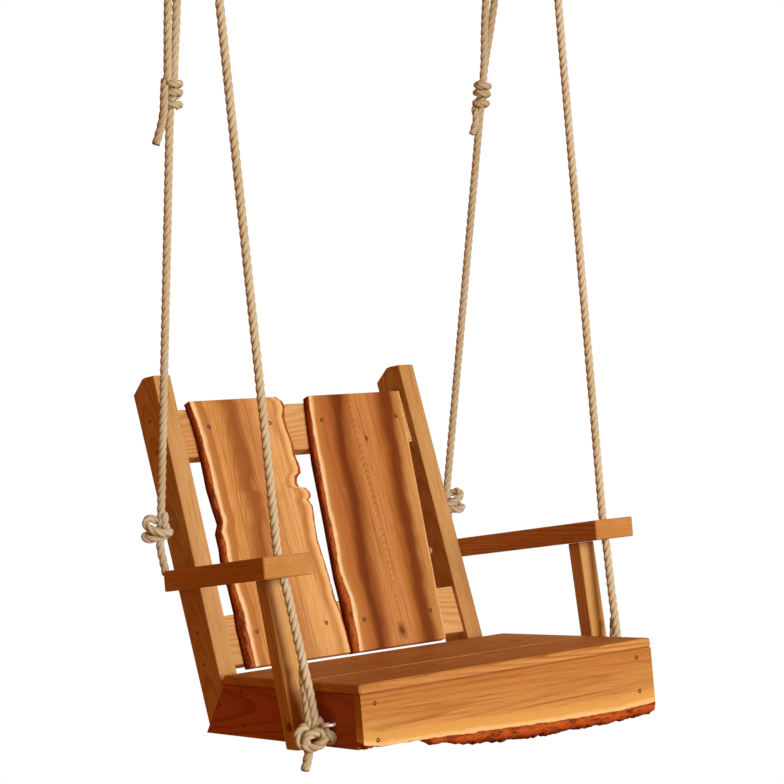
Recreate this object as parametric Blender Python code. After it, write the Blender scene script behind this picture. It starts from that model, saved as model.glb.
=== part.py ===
"""Rope-hung porch swing with live-edge back slats, in metres, +Z up.

The front of the swing faces -Y. The world's origin is on the ceiling, midway between the four
ceiling eyes. The seat is laid out in its own frame: X to the right, Y to the rear, Z square to
the seat, with the origin at the middle of the seat's front top edge. That frame hangs tilted
back by SEAT_TILT. The back is laid out with two numbers: `up`, the distance up the reclined
upright from its foot, and `deep`, the distance forward from the upright's rear edge.
"""
import math

import bmesh
import bpy
from mathutils import Matrix, Vector

# Seat
SEAT_WIDTH = 0.666
SEAT_DEPTH = 0.430
FRONT_SLAT_DEPTH = 0.168
SLAT_GAP = 0.004
SLAT_THICK = 0.017
SIDE_THICK = 0.017
SIDE_BOTTOM = -0.109
SIDE_REAR_TOP = 0.433
SIDE_REAR_BOTTOM = 0.507
FRONT_THICK = 0.020
BEARER_THICK = 0.036
REAR_RAIL_Y = 0.372
MIDDLE_BEARER_Y = 0.172

# Back
RECLINE = math.radians(16.9)
UPRIGHT_FOOT_Y = 0.5197
UPRIGHT_THICK = 0.038
UPRIGHT_DEEP = 0.089
UPRIGHT_LENGTH = 0.690
RAIL_THICK = 0.038
RAIL_REAR = 0.0315
TOP_RAIL = (0.516, 0.614)
BOTTOM_RAIL = (0.103, 0.199)
BACK_SLAT_THICK = 0.019

# Arms and posts
ARM_WIDTH = 0.0965
ARM_THICK = 0.038
ARM_FRONT_Y = 0.118
ARM_FRONT_X = 0.3285
ARM_TOP_FRONT = 0.2216
ARM_SLOPE = 0.0633
ARM_OUTER_REAR_Y = 0.478
ARM_INNER_REAR_Y = 0.603
POST_WIDE = 0.038
POST_DEEP = 0.034
POST_TOP = (0.3430, 0.186)
POST_FOOT = (0.3305, 0.148)
POST_FOOT_Z = -0.113

# Ropes and fittings
ROPE_DIA = 0.015
ROPE_R = ROPE_DIA / 2
ROPE_HOLE_R = 0.0130
SEAT_TILT = math.radians(6.33)
HOOK_RISE = 1.335
EYE_BAR_R = 0.005
EYE_RING_R = 0.023
EYE_DROP = 0.055
FLANGE_R = 0.030
FLANGE_THICK = 0.007
FRONT_ROPE_SEAT = Vector((0.3755, 0.1487, 0.2196))
FRONT_ROPE_RISE = Vector((0.0176, 0.0195, 1.0))
BACK_ROPE_SEAT = Vector((0.3424, 0.5877, 0.3012))
BACK_ROPE_RISE = Vector((0.0291, -0.2453, 1.0))
LOOP_R = 0.0145
EYE_BOLT_R = 0.00275
# Across an eye bolt's nut, and across the counterbore that takes a post's lag screw, as radii.
NUT_R = 0.0062
LAG_POCKET_R = 0.0092
# Distances down a back rope from its ceiling eye: the left rope is tied lower than the right one.
HITCH_TOP = {"left": 0.299, "right": 0.266}
HITCH_LENGTH = 0.054
# Which way round the two strands lie at a hitch, in degrees.
STRAND_TURN = {"left": 193, "right": 233}
# Eye bolt rings: (centre x, y, z) and radius.
BACK_EYE = (0.3277, 0.614, 0.288)
BACK_EYE_RING = 0.0090
FRONT_EYE = (0.3450, 0.080, -0.068)
FRONT_EYE_RING = 0.0090
GAP = 0.0003
# The rope's cut end below a hitch, as steps from the hitch's lower end.
HITCH_TAILS = {"left": [(-0.0100, 0.0, 0.014), (-0.0178, 0.002, -0.007), (-0.0240, 0.005, -0.032),
                        (-0.0320, 0.009, -0.064)],
               "right": [(-0.0100, 0.0, 0.014), (-0.0178, 0.002, -0.007), (-0.0225, 0.005, -0.026),
                         (-0.0285, 0.009, -0.050)]}

UPRIGHT_X = SEAT_WIDTH / 2 - 0.001 - SIDE_THICK - GAP
SIDE_X = SEAT_WIDTH / 2 - 0.001
HALF_RAIL = UPRIGHT_X - UPRIGHT_THICK - GAP
SIDES = {"left": -1, "right": 1}

# Live edges: (x, up) along each waney edge, foot to top.
LEFT_SLAT_OUTER = [(-0.2540, 0.090), (-0.2535, 0.139), (-0.2540, 0.169), (-0.2510, 0.199), (-0.2510, 0.248),
                   (-0.2535, 0.305), (-0.2505, 0.327), (-0.2503, 0.358), (-0.2410, 0.376), (-0.2437, 0.403),
                   (-0.2465, 0.448), (-0.2440, 0.508), (-0.2430, 0.546), (-0.2453, 0.587), (-0.2505, 0.625)]
LEFT_SLAT_INNER = [(-0.0400, 0.622), (-0.0280, 0.614), (-0.0265, 0.600), (-0.0335, 0.581), (-0.0335, 0.555),
                   (-0.0290, 0.525), (-0.0295, 0.499), (-0.0245, 0.473), (-0.0270, 0.462), (-0.0375, 0.456),
                   (-0.0430, 0.440), (-0.0400, 0.432), (-0.0260, 0.430), (-0.0195, 0.421), (-0.0200, 0.410),
                   (-0.0280, 0.406), (-0.0220, 0.391), (-0.0265, 0.358), (-0.0300, 0.320), (-0.0280, 0.270),
                   (-0.0260, 0.236), (-0.0250, 0.203), (-0.0200, 0.170), (-0.0195, 0.148), (-0.0205, 0.092)]
RIGHT_SLAT_INNER = [(-0.016, 0.090), (-0.012, 0.133), (-0.008, 0.193), (-0.008, 0.244), (-0.004, 0.295),
                    (0.001, 0.357), (0.005, 0.420), (0.009, 0.483), (0.018, 0.547), (0.029, 0.621)]
RIGHT_SLAT_OUTER = [(0.261, 0.623), (0.212, 0.091)]
# Live bottom edge of the front board: (x, z), left to right.
FRONT_EDGE = [(-0.332, -0.101), (-0.321, -0.110), (-0.300, -0.108), (-0.207, -0.110), (-0.186, -0.120),
              (-0.155, -0.125), (-0.111, -0.131), (-0.050, -0.138), (0.000, -0.142), (0.093, -0.144),
              (0.190, -0.143), (0.239, -0.146), (0.300, -0.143), (0.332, -0.141)]
# Screws through the back slats: (x, up).
SLAT_SCREWS = {"left": [(-0.218, 0.569), (-0.077, 0.569), (-0.221, 0.156), (-0.062, 0.155)],
               "right": [(0.048, 0.569), (0.235, 0.567), (0.027, 0.151), (0.191, 0.151)]}

WOOD = (0.46, 0.20, 0.06)
PALE_WOOD = (0.56, 0.29, 0.10)
DARK_WOOD = (0.30, 0.11, 0.03)
ROPE = (0.58, 0.47, 0.28)
STEEL = (0.62, 0.62, 0.60)


def clear_scene():
    for obj in list(bpy.data.objects):
        bpy.data.objects.remove(obj, do_unlink=True)


def seat_to_world():
    """The matrix that takes the seat's frame to the world."""
    tilt = Matrix.Rotation(-SEAT_TILT, 4, "X")
    front, back = hook_offset(FRONT_ROPE_SEAT, FRONT_ROPE_RISE), hook_offset(BACK_ROPE_SEAT, BACK_ROPE_RISE)
    place = Matrix.Translation((0, -(front.y + back.y) / 2, -HOOK_RISE - EYE_DROP))
    return place @ tilt


def hook_offset(point, rise):
    """Where a rope's line reaches the eyes' height, turned upright but not yet moved."""
    tilt = Matrix.Rotation(-SEAT_TILT, 3, "X")
    start, direction = tilt @ point, tilt @ rise
    return start + direction * ((HOOK_RISE - start.z) / direction.z)


def hook_point(point, rise, side):
    """The middle of the ceiling eye's bar, where a rope hangs."""
    seat = hook_offset(point, rise)
    front, back = hook_offset(FRONT_ROPE_SEAT, FRONT_ROPE_RISE), hook_offset(BACK_ROPE_SEAT, BACK_ROPE_RISE)
    return Vector((side * seat.x, seat.y - (front.y + back.y) / 2, -EYE_DROP))


def lean(up, deep):
    """Seat-frame Y and Z of a point on the reclined back."""
    sine, cosine = math.sin(RECLINE), math.cos(RECLINE)
    return (UPRIGHT_FOOT_Y + up * sine - deep * cosine, SIDE_BOTTOM + up * cosine + deep * sine)


def material(name, colour, roughness=0.5, metallic=0.0):
    mat = bpy.data.materials.new(name)
    mat.use_nodes = True
    shader = mat.node_tree.nodes["Principled BSDF"]
    shader.inputs["Base Color"].default_value = (*colour, 1.0)
    shader.inputs["Roughness"].default_value = roughness
    shader.inputs["Metallic"].default_value = metallic
    return mat


def finish(name, bm, parent, look, smooth=False):
    """Turn a bmesh that is written in the parent's frame into an object under that parent."""
    bmesh.ops.recalc_face_normals(bm, faces=bm.faces[:])
    mesh = bpy.data.meshes.new(name)
    bm.to_mesh(mesh)
    bm.free()
    obj = bpy.data.objects.new(name, mesh)
    bpy.context.collection.objects.link(obj)
    obj.parent = parent
    colour, roughness, metallic = look
    mesh.materials.append(material(name + "_finish", colour, roughness, metallic))
    if smooth:
        mesh.shade_smooth()
        mesh.set_sharp_from_angle(angle=math.radians(40))
    return obj


def prism(name, outline, low, high, place, parent, look, bevel=0.0015):
    """A closed prism: place(u, v, w) puts outline point (u, v) at depth w."""
    bm = bmesh.new()
    loops = [[bm.verts.new(place(u, v, w)) for u, v in outline] for w in (low, high)]
    bm.faces.new(loops[0])
    bm.faces.new(list(reversed(loops[1])))
    for i in range(len(outline)):
        j = (i + 1) % len(outline)
        bm.faces.new((loops[0][j], loops[0][i], loops[1][i], loops[1][j]))
    obj = finish(name, bm, parent, look)
    if bevel:
        edge = obj.modifiers.new("eased_edges", "BEVEL")
        edge.width = bevel
        edge.segments = 1
        edge.limit_method = "ANGLE"
        edge.angle_limit = math.radians(50)
    return obj


def box(name, low, high, parent, look, bevel=0.0015):
    outline = [(low[0], low[2]), (high[0], low[2]), (high[0], high[2]), (low[0], high[2])]
    return prism(name, outline, low[1], high[1], lambda u, v, w: (u, w, v), parent, look, bevel)


def turned(name, profile, start, axis, parent, look, sides=12):
    """A turned piece: profile of (radius, distance along axis), closed at both ends."""
    bm = bmesh.new()
    turn = Vector((0, 0, 1)).rotation_difference(Vector(axis)).to_matrix()
    rings = []
    for radius, along in profile:
        ring = []
        for k in range(sides):
            angle = 2 * math.pi * k / sides
            spot = Vector((radius * math.cos(angle), radius * math.sin(angle), along))
            ring.append(bm.verts.new(Vector(start) + turn @ spot))
        rings.append(ring)
    for lower, upper in zip(rings, rings[1:]):
        for k in range(sides):
            m = (k + 1) % sides
            bm.faces.new((lower[k], lower[m], upper[m], upper[k]))
    bm.faces.new(list(reversed(rings[0])))
    bm.faces.new(rings[-1])
    return finish(name, bm, parent, look, smooth=True)


def cut(target, tool):
    """Cut the tool's shape out of the target."""
    tool.hide_render = True
    tool.display_type = "WIRE"
    change = target.modifiers.new("cut_" + tool.name, "BOOLEAN")
    change.operation = "DIFFERENCE"
    change.object = tool


def join(target, tool):
    """Fuse the tool's shape into the target."""
    tool.hide_render = True
    tool.display_type = "WIRE"
    change = target.modifiers.new("join_" + tool.name, "BOOLEAN")
    change.operation = "UNION"
    change.object = tool


def drill(target, label, profile, start, axis):
    """A round hole for a turned piece, with the running gap all round it."""
    wider = [(radius + GAP, along) for radius, along in profile]
    wider[0] = (wider[0][0], wider[0][1] - 0.002)
    wider[-1] = (wider[-1][0], wider[-1][1] + GAP)
    tool = turned(label + "_hole", wider, start, axis, target.parent, (STEEL, 0.4, 1.0))
    cut(target, tool)


def tube(name, points, radius, parent, look, sides=2):
    """A round bar or rope along points that are written in the parent's frame."""
    curve = bpy.data.curves.new(name, "CURVE")
    curve.dimensions = "3D"
    curve.bevel_depth = radius
    curve.bevel_resolution = sides
    curve.use_fill_caps = True
    spline = curve.splines.new("POLY")
    spline.points.add(len(points) - 1)
    for spot, place in zip(spline.points, points):
        spot.co = (*place, 1.0)
    obj = bpy.data.objects.new(name, curve)
    bpy.context.collection.objects.link(obj)
    obj.parent = parent
    colour, roughness, metallic = look
    curve.materials.append(material(name + "_finish", colour, roughness, metallic))
    return obj


def mesh_tube(name, points, radius, parent, look, sides=8):
    """A short closed tube as a mesh, for fusing into a knot."""
    bm = bmesh.new()
    rings = []
    for k, spot in enumerate(points):
        ahead = (points[min(k + 1, len(points) - 1)] - points[max(k - 1, 0)]).normalized()
        across = ahead.cross(Vector((1, 0, 0))).normalized()
        over = ahead.cross(across)
        ring = []
        for m in range(sides):
            angle = 2 * math.pi * m / sides
            ring.append(bm.verts.new(spot + radius * (across * math.cos(angle) + over * math.sin(angle))))
        rings.append(ring)
    for a, b in zip(rings, rings[1:]):
        for m in range(sides):
            n = (m + 1) % sides
            bm.faces.new((a[m], a[n], b[n], b[m]))
    bm.faces.new(list(reversed(rings[0])))
    bm.faces.new(rings[-1])
    return finish(name, bm, parent, look, smooth=True)


def smooth_route(points, spacing):
    """Points at an even spacing along a smooth Catmull-Rom curve through the route's own points."""
    points = [Vector(p) for p in points]
    ends = [2 * points[0] - points[1]] + points + [2 * points[-1] - points[-2]]
    fine = []
    for a, b, c, d in zip(ends, ends[1:], ends[2:], ends[3:]):
        for k in range(12):
            t = k / 12
            fine.append(0.5 * (2 * b + (c - a) * t + (2 * a - 5 * b + 4 * c - d) * t * t
                               + (3 * b - a - 3 * c + d) * t ** 3))
    fine.append(points[-1])
    length = sum((q - p).length for p, q in zip(fine, fine[1:]))
    count = max(2, round(length / spacing))
    route, travelled, target = [fine[0]], 0.0, length / count
    for p, q in zip(fine, fine[1:]):
        step = (q - p).length
        while travelled + step >= target - 1e-9 and len(route) < count:
            route.append(p.lerp(q, (target - travelled) / step))
            target += length / count
        travelled += step
    route.append(fine[-1])
    return route


def blob(name, centre, radii, parent, look):
    """The plain outer shape of a knot."""
    bm = bmesh.new()
    bmesh.ops.create_uvsphere(bm, u_segments=12, v_segments=8, radius=1.0)
    bmesh.ops.scale(bm, vec=radii, verts=bm.verts)
    bmesh.ops.translate(bm, vec=centre, verts=bm.verts)
    return finish(name, bm, parent, look, smooth=True)


def empty(name, matrix):
    obj = bpy.data.objects.new(name, None)
    bpy.context.collection.objects.link(obj)
    obj.matrix_world = matrix
    return obj


WOOD_LOOK = (WOOD, 0.38, 0.0)
PALE_LOOK = (PALE_WOOD, 0.38, 0.0)
DARK_LOOK = (DARK_WOOD, 0.40, 0.0)
ROPE_LOOK = (ROPE, 0.85, 0.0)
STEEL_LOOK = (STEEL, 0.35, 1.0)

SCREW = [(0.0042, 0.0), (0.0042, 0.0008), (0.0020, 0.0035), (0.0020, 0.034), (0.0006, 0.038)]
ARM_BOLT = [(0.0065, 0.0), (0.0065, 0.004), (0.0032, 0.0042), (0.0032, 0.078), (0.0010, 0.084)]
POST_LAG = [(0.0070, 0.0), (0.0070, 0.0045), (0.0032, 0.0047), (0.0032, 0.036), (0.0012, 0.040)]


def seat_boards(seat):
    """Seat slats, the apron of front and side boards, and the bearers under the slats."""
    half = SEAT_WIDTH / 2
    box("seat_slat_front", (-half, 0, -SLAT_THICK), (half, FRONT_SLAT_DEPTH, 0), seat, WOOD_LOOK, 0.003)
    box("seat_slat_rear", (-half, FRONT_SLAT_DEPTH + SLAT_GAP, -SLAT_THICK), (half, SEAT_DEPTH, 0),
        seat, WOOD_LOOK, 0.003)
    top = -SLAT_THICK - GAP
    outline = FRONT_EDGE + [(FRONT_EDGE[-1][0], top), (FRONT_EDGE[0][0], top)]
    prism("front_board", outline, 0.0005, FRONT_THICK, lambda u, v, w: (u, w, v), seat, PALE_LOOK, 0.0012)
    start = FRONT_THICK + GAP
    outline = [(start, top), (start, SIDE_BOTTOM), (SIDE_REAR_BOTTOM, SIDE_BOTTOM), (SIDE_REAR_TOP, top)]
    sides = {}
    for name, side in SIDES.items():
        sides[side] = prism("side_board_" + name, outline, side * (SIDE_X - SIDE_THICK), side * SIDE_X,
                            lambda u, v, w: (w, u, v), seat, DARK_LOOK)
    inner = SIDE_X - SIDE_THICK - GAP
    for name, y in (("rear_seat_rail", REAR_RAIL_Y), ("middle_bearer", MIDDLE_BEARER_Y)):
        box(name, (-inner, y - BEARER_THICK / 2, SIDE_BOTTOM + 0.006), (inner, y + BEARER_THICK / 2, top),
            seat, WOOD_LOOK)
    return sides


def back_frame(seat):
    """Two reclined uprights with a clipped rear corner, and the two rails between them."""
    top = UPRIGHT_LENGTH
    outline = [(0.0, 0.0), (top - 0.016, 0.0), (top, 0.044), (top - 0.001, 0.056),
               (top - 0.010, UPRIGHT_DEEP), (0.0270, UPRIGHT_DEEP)]
    foot = [lean(*spot) for spot in outline]
    foot[-1] = (foot[-1][0], SIDE_BOTTOM)
    uprights = {}
    for name, side in SIDES.items():
        uprights[side] = prism("upright_" + name, foot, side * (UPRIGHT_X - UPRIGHT_THICK), side * UPRIGHT_X,
                               lambda u, v, w: (w, u, v), seat, WOOD_LOOK)
    rails = {}
    for name, (low, high) in (("top_back_rail", TOP_RAIL), ("bottom_back_rail", BOTTOM_RAIL)):
        front = RAIL_REAR + RAIL_THICK
        corners = ((low, RAIL_REAR), (high, RAIL_REAR), (high, front), (low, front))
        outline = [lean(up, deep) for up, deep in corners]
        rails[name] = prism(name, outline, -HALF_RAIL, HALF_RAIL, lambda u, v, w: (w, u, v), seat, PALE_LOOK)
    return uprights, rails


def back_slats(seat, rails):
    """Two live-edge slats on the rails' front faces, each held by four screws."""
    rear = RAIL_REAR + RAIL_THICK + GAP
    front = rear + BACK_SLAT_THICK
    outlines = {"left": LEFT_SLAT_OUTER + LEFT_SLAT_INNER, "right": RIGHT_SLAT_INNER + RIGHT_SLAT_OUTER}
    inward = Vector((0, *lean(0, -1))) - Vector((0, *lean(0, 0)))
    for name, outline in outlines.items():
        slat = prism("back_slat_" + name, outline, rear, front, lambda u, v, w: (u, *lean(v, w)), seat,
                     PALE_LOOK, 0.0)
        for index, (x, up) in enumerate(SLAT_SCREWS[name], start=1):
            head = (x, *lean(up, front - 0.0002))
            label = "back_slat_screw_%s_%d" % (name, index)
            turned(label, SCREW, head, inward, seat, STEEL_LOOK, sides=8)
            drill(slat, label + "_slat", SCREW, head, inward)
            rail = rails["top_back_rail" if up > 0.3 else "bottom_back_rail"]
            drill(rail, label + "_rail", SCREW, head, inward)


def arm_edges(y):
    """The arm's inner edge toes in from the post to lie against the upright."""
    reach = (y - ARM_FRONT_Y) / (ARM_INNER_REAR_Y - ARM_FRONT_Y)
    return ARM_FRONT_X + (UPRIGHT_X + GAP - ARM_FRONT_X) * min(1.0, reach * 1.25)


def arm_top(y):
    return ARM_TOP_FRONT - ARM_SLOPE * (y - ARM_FRONT_Y)


def arms(seat, uprights):
    """Flat arms with a rope hole near the front; the outer rear corner is cut off on a diagonal."""
    lap = ARM_FRONT_Y + (ARM_INNER_REAR_Y - ARM_FRONT_Y) / 1.25
    outline = [(arm_edges(ARM_FRONT_Y), ARM_FRONT_Y), (arm_edges(ARM_FRONT_Y) + ARM_WIDTH, ARM_FRONT_Y),
               (arm_edges(ARM_OUTER_REAR_Y) + ARM_WIDTH, ARM_OUTER_REAR_Y),
               (arm_edges(ARM_INNER_REAR_Y) + 0.004, ARM_INNER_REAR_Y),
               (arm_edges(ARM_INNER_REAR_Y), ARM_INNER_REAR_Y), (arm_edges(lap), lap)]
    made = {}
    for name, side in SIDES.items():
        arm = prism("arm_" + name, [(side * x, y) for x, y in outline], 0.0, ARM_THICK,
                    lambda u, v, w: (u, v, arm_top(v) - w), seat, WOOD_LOOK, 0.002)
        x, y = side * FRONT_ROPE_SEAT.x, FRONT_ROPE_SEAT.y
        start = (x - side * 0.0015, y - 0.003, arm_top(y) - 0.06)
        hole = turned("rope_hole_" + name, [(ROPE_HOLE_R, 0.0), (ROPE_HOLE_R, 0.08)], start, (0, 0, 1), seat,
                      STEEL_LOOK, sides=16)
        cut(arm, hole)
        spot = (side * (UPRIGHT_X - UPRIGHT_THICK - 0.0042), *lean(0.288, 0.030))
        label = "arm_bolt_" + name
        turned(label, ARM_BOLT, spot, (side, 0, 0), seat, STEEL_LOOK)
        drill(uprights[side], label + "_upright", ARM_BOLT[2:], spot, (side, 0, 0))
        drill(arm, label + "_arm", ARM_BOLT[2:], spot, (side, 0, 0))
        made[side] = arm
    return made


def posts(seat, side_boards):
    """Arm posts outside the side boards, leaning back to the arm, with a foot planed flat."""
    top_x, top_y = POST_TOP
    foot_x, foot_y = POST_FOOT
    flat_x = SIDE_X + GAP
    rise = ARM_TOP_FRONT - ARM_THICK - POST_FOOT_Z
    for name, side in SIDES.items():
        bm = bmesh.new()
        rings = []
        for forward in (0, 1):
            shift = POST_DEEP * forward
            y_top = top_y + shift
            z_top = arm_top(y_top) - ARM_THICK - GAP
            part = (z_top - POST_FOOT_Z) / rise
            x_top = foot_x + (top_x - foot_x) * part
            plane = (flat_x - foot_x) / (top_x - foot_x)
            corners = [(flat_x, 0.0), (foot_x + POST_WIDE, 0.0), (x_top + POST_WIDE, part), (x_top, part),
                       (flat_x, plane)]
            ring = []
            for x, t in corners:
                y = foot_y + (top_y - foot_y) * t + shift
                ring.append(bm.verts.new((side * x, y, POST_FOOT_Z + rise * t)))
            rings.append(ring)
        bm.faces.new(rings[0])
        bm.faces.new(list(reversed(rings[1])))
        for i in range(5):
            j = (i + 1) % 5
            bm.faces.new((rings[0][j], rings[0][i], rings[1][i], rings[1][j]))
        post = finish("arm_post_" + name, bm, seat, WOOD_LOOK)
        edge = post.modifiers.new("eased_edges", "BEVEL")
        edge.width = 0.0018
        edge.segments = 1
        edge.limit_method = "ANGLE"
        edge.angle_limit = math.radians(50)
        spot = (side * (foot_x + POST_WIDE - 0.008), 0.165, -0.074)
        label = "post_lag_" + name
        turned(label, POST_LAG, spot, (-side, 0, 0), seat, STEEL_LOOK)
        drill(post, label + "_post", POST_LAG[2:], spot, (-side, 0, 0))
        start = (spot[0] - side * 0.0005, *spot[1:])
        profile = [(LAG_POCKET_R, -GAP), (LAG_POCKET_R, 0.03)]
        pocket = turned(label + "_pocket", profile, start, (side, 0, 0), seat, STEEL_LOOK, sides=16)
        pocket.location = (-side * 0.0044, 0, 0)
        cut(post, pocket)
        drill(side_boards[side], label + "_side", POST_LAG[2:], spot, (-side, 0, 0))


def eye_bolts(seat, uprights, side_boards):
    """Eye bolts, rings lying flat, with a nut inside: in the uprights and the side boards."""
    spots = (("back", uprights, UPRIGHT_X, UPRIGHT_THICK, BACK_EYE, BACK_EYE_RING),
             ("front", side_boards, SIDE_X, SIDE_THICK, FRONT_EYE, FRONT_EYE_RING))
    for row, boards, face, thick, (centre, y, z), radius in spots:
        for name, side in SIDES.items():
            inner = face - thick
            stem = [(inner - 0.011, 0.0), (inner - 0.002, 0.0), (face - 0.004, 0.0), (face + 0.003, 0.0)]
            ring = []
            for k in range(19):
                angle = math.radians(180 + 17.5 * k)
                ring.append((centre + radius * math.cos(angle), radius * math.sin(angle)))
            label = "%s_eye_bolt_%s" % (row, name)
            route = [(side * x, y + back, z) for x, back in stem + ring[1:]]
            tube(label, route, EYE_BOLT_R, seat, STEEL_LOOK, 2)
            shank = [(EYE_BOLT_R, -0.02), (EYE_BOLT_R, thick + 0.02)]
            drill(boards[side], label, shank, (side * inner, y, z), (side, 0, 0))
            nut_and_hole(label.replace("bolt", "nut"), (side * (inner - 0.0007), y, z), (-side, 0, 0), seat)


def nut_and_hole(name, spot, axis, seat):
    nut = turned(name, [(NUT_R, 0.0), (NUT_R, 0.005)], spot, axis, seat, STEEL_LOOK, sides=6)
    hole = turned(name + "_hole", [(EYE_BOLT_R + GAP, -0.01), (EYE_BOLT_R + GAP, 0.02)], spot, axis, seat,
                  STEEL_LOOK)
    cut(nut, hole)


def ceiling_eyes(hooks):
    """Forged eyes on a round flange, one for each rope."""
    for (row, name), spot in hooks.items():
        label = "ceiling_eye_%s_%s" % (row, name)
        mount = empty(label + "_place", Matrix.Translation(spot))
        profile = [(FLANGE_R, EYE_DROP - FLANGE_THICK), (FLANGE_R, EYE_DROP - 0.001),
                   (FLANGE_R - 0.001, EYE_DROP)]
        flange = turned(label, profile, (0, 0, 0), (0, 0, 1), mount, STEEL_LOOK, sides=24)
        bm = bmesh.new()
        rings = []
        for k in range(20):
            angle = 2 * math.pi * k / 20
            out = Vector((math.sin(angle), 0, -math.cos(angle)))
            centre = Vector((0, 0, EYE_RING_R)) + out * EYE_RING_R
            ring = []
            for m in range(8):
                turn = 2 * math.pi * m / 8
                step = out * math.cos(turn) + Vector((0, math.sin(turn), 0))
                ring.append(bm.verts.new(centre + EYE_BAR_R * step))
            rings.append(ring)
        for a, b in zip(rings, rings[1:] + rings[:1]):
            for m in range(8):
                n = (m + 1) % 8
                bm.faces.new((a[m], a[n], b[n], b[m]))
        join(flange, finish(label + "_ring", bm, mount, STEEL_LOOK, smooth=True))


def under(hinge, points):
    """World points written in the frame of an empty that is only moved."""
    return [Vector(p) - hinge.matrix_world.translation for p in points]


def hairpin(eye, fork, spread_low, turn_low):
    """Both strands of a rope that goes over a ceiling eye's bar and comes back to the fork.

    The strands lie fore and aft at the bar, and turn about each other by turn_low at the fork.
    """
    steps = 10
    up, down = [], []
    for k in range(steps + 1):
        t = k / steps
        centre = Vector(fork).lerp(Vector(eye), t)
        ease = t * t * (3 - 2 * t)
        open_up = max(0.0, (t - 0.5) / 0.5)
        half = spread_low + (LOOP_R - spread_low) * open_up * open_up * (3 - 2 * open_up)
        angle = turn_low + (math.pi / 2 - turn_low) * ease
        offset = Vector((math.cos(angle), math.sin(angle), 0)) * half
        up.append(centre + offset)
        down.append(centre - offset)
    arc = []
    for k in range(1, 8):
        angle = math.pi * k / 8
        arc.append(Vector(eye) + Vector((0, LOOP_R * math.cos(angle), LOOP_R * math.sin(angle))))
    return up + arc + list(reversed(down))


def front_ropes(seat, hinge, world, hooks):
    """Each front rope hangs from its eye to the arm, goes through the arm and ends in a knot."""
    for name, side in SIDES.items():
        eye = hooks["front", name]
        rest = world @ Vector((side * FRONT_ROPE_SEAT.x, FRONT_ROPE_SEAT.y, FRONT_ROPE_SEAT.z + 0.0012))
        run = (rest - eye).normalized()
        fork, knot_top = eye + run * 0.050, eye + run * 0.051
        knot_end = eye + run * 0.086
        loop = hairpin(eye, fork, 0.0082, math.radians(90))
        loop_node = tube("front_rope_loop_" + name, under(hinge, loop), ROPE_R, hinge, ROPE_LOOK)
        centre = under(hinge, [(knot_top + knot_end) / 2])[0]
        blob("front_rope_top_knot_" + name, centre, (0.0165, 0.0185, 0.0172), hinge, ROPE_LOOK)
        route = [knot_end + run * 0.0004, knot_end.lerp(rest, 0.35), knot_end.lerp(rest, 0.7), rest]
        tube("front_rope_" + name, under(hinge, smooth_route(route, 0.038)), ROPE_R, hinge, ROPE_LOOK)
        shorten(loop_node, 3)
        lower = [(0.3755, 0.1487, 0.2180), (0.3732, 0.1445, 0.1950), (0.3698, 0.1380, 0.1600),
                 (0.3640, 0.1290, 0.0900), (0.3585, 0.1190, 0.0200), (0.3550, 0.1120, -0.0300),
                 (0.3540, 0.1090, -0.0640)]
        lower = [(side * x, y, z) for x, y, z in lower]
        tube("front_rope_lower_" + name, smooth_route(lower, 0.032), ROPE_R, seat, ROPE_LOOK)
        knot = blob("front_rope_knot_" + name, (side * 0.3545, 0.112, -0.0860), (0.0185, 0.0240, 0.0205),
                    seat, ROPE_LOOK)
        tail = [(side * 0.354, 0.126, -0.0940), (side * 0.355, 0.140, -0.115), (side * 0.355, 0.152, -0.138),
                (side * 0.354, 0.160, -0.157)]
        tail = smooth_route(tail, 0.014)
        join(knot, mesh_tube("front_tail_" + name, tail, ROPE_R * 0.9, seat, ROPE_LOOK))


def shorten(node, count):
    """Keep a strand's ends clear of the knot below it."""
    spline = node.data.splines[0]
    first, second = spline.points[0], spline.points[1]
    last, before = spline.points[-1], spline.points[-2]
    part = 0.1 * count
    first.co = first.co.lerp(second.co, part)
    last.co = last.co.lerp(before.co, part)


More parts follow.
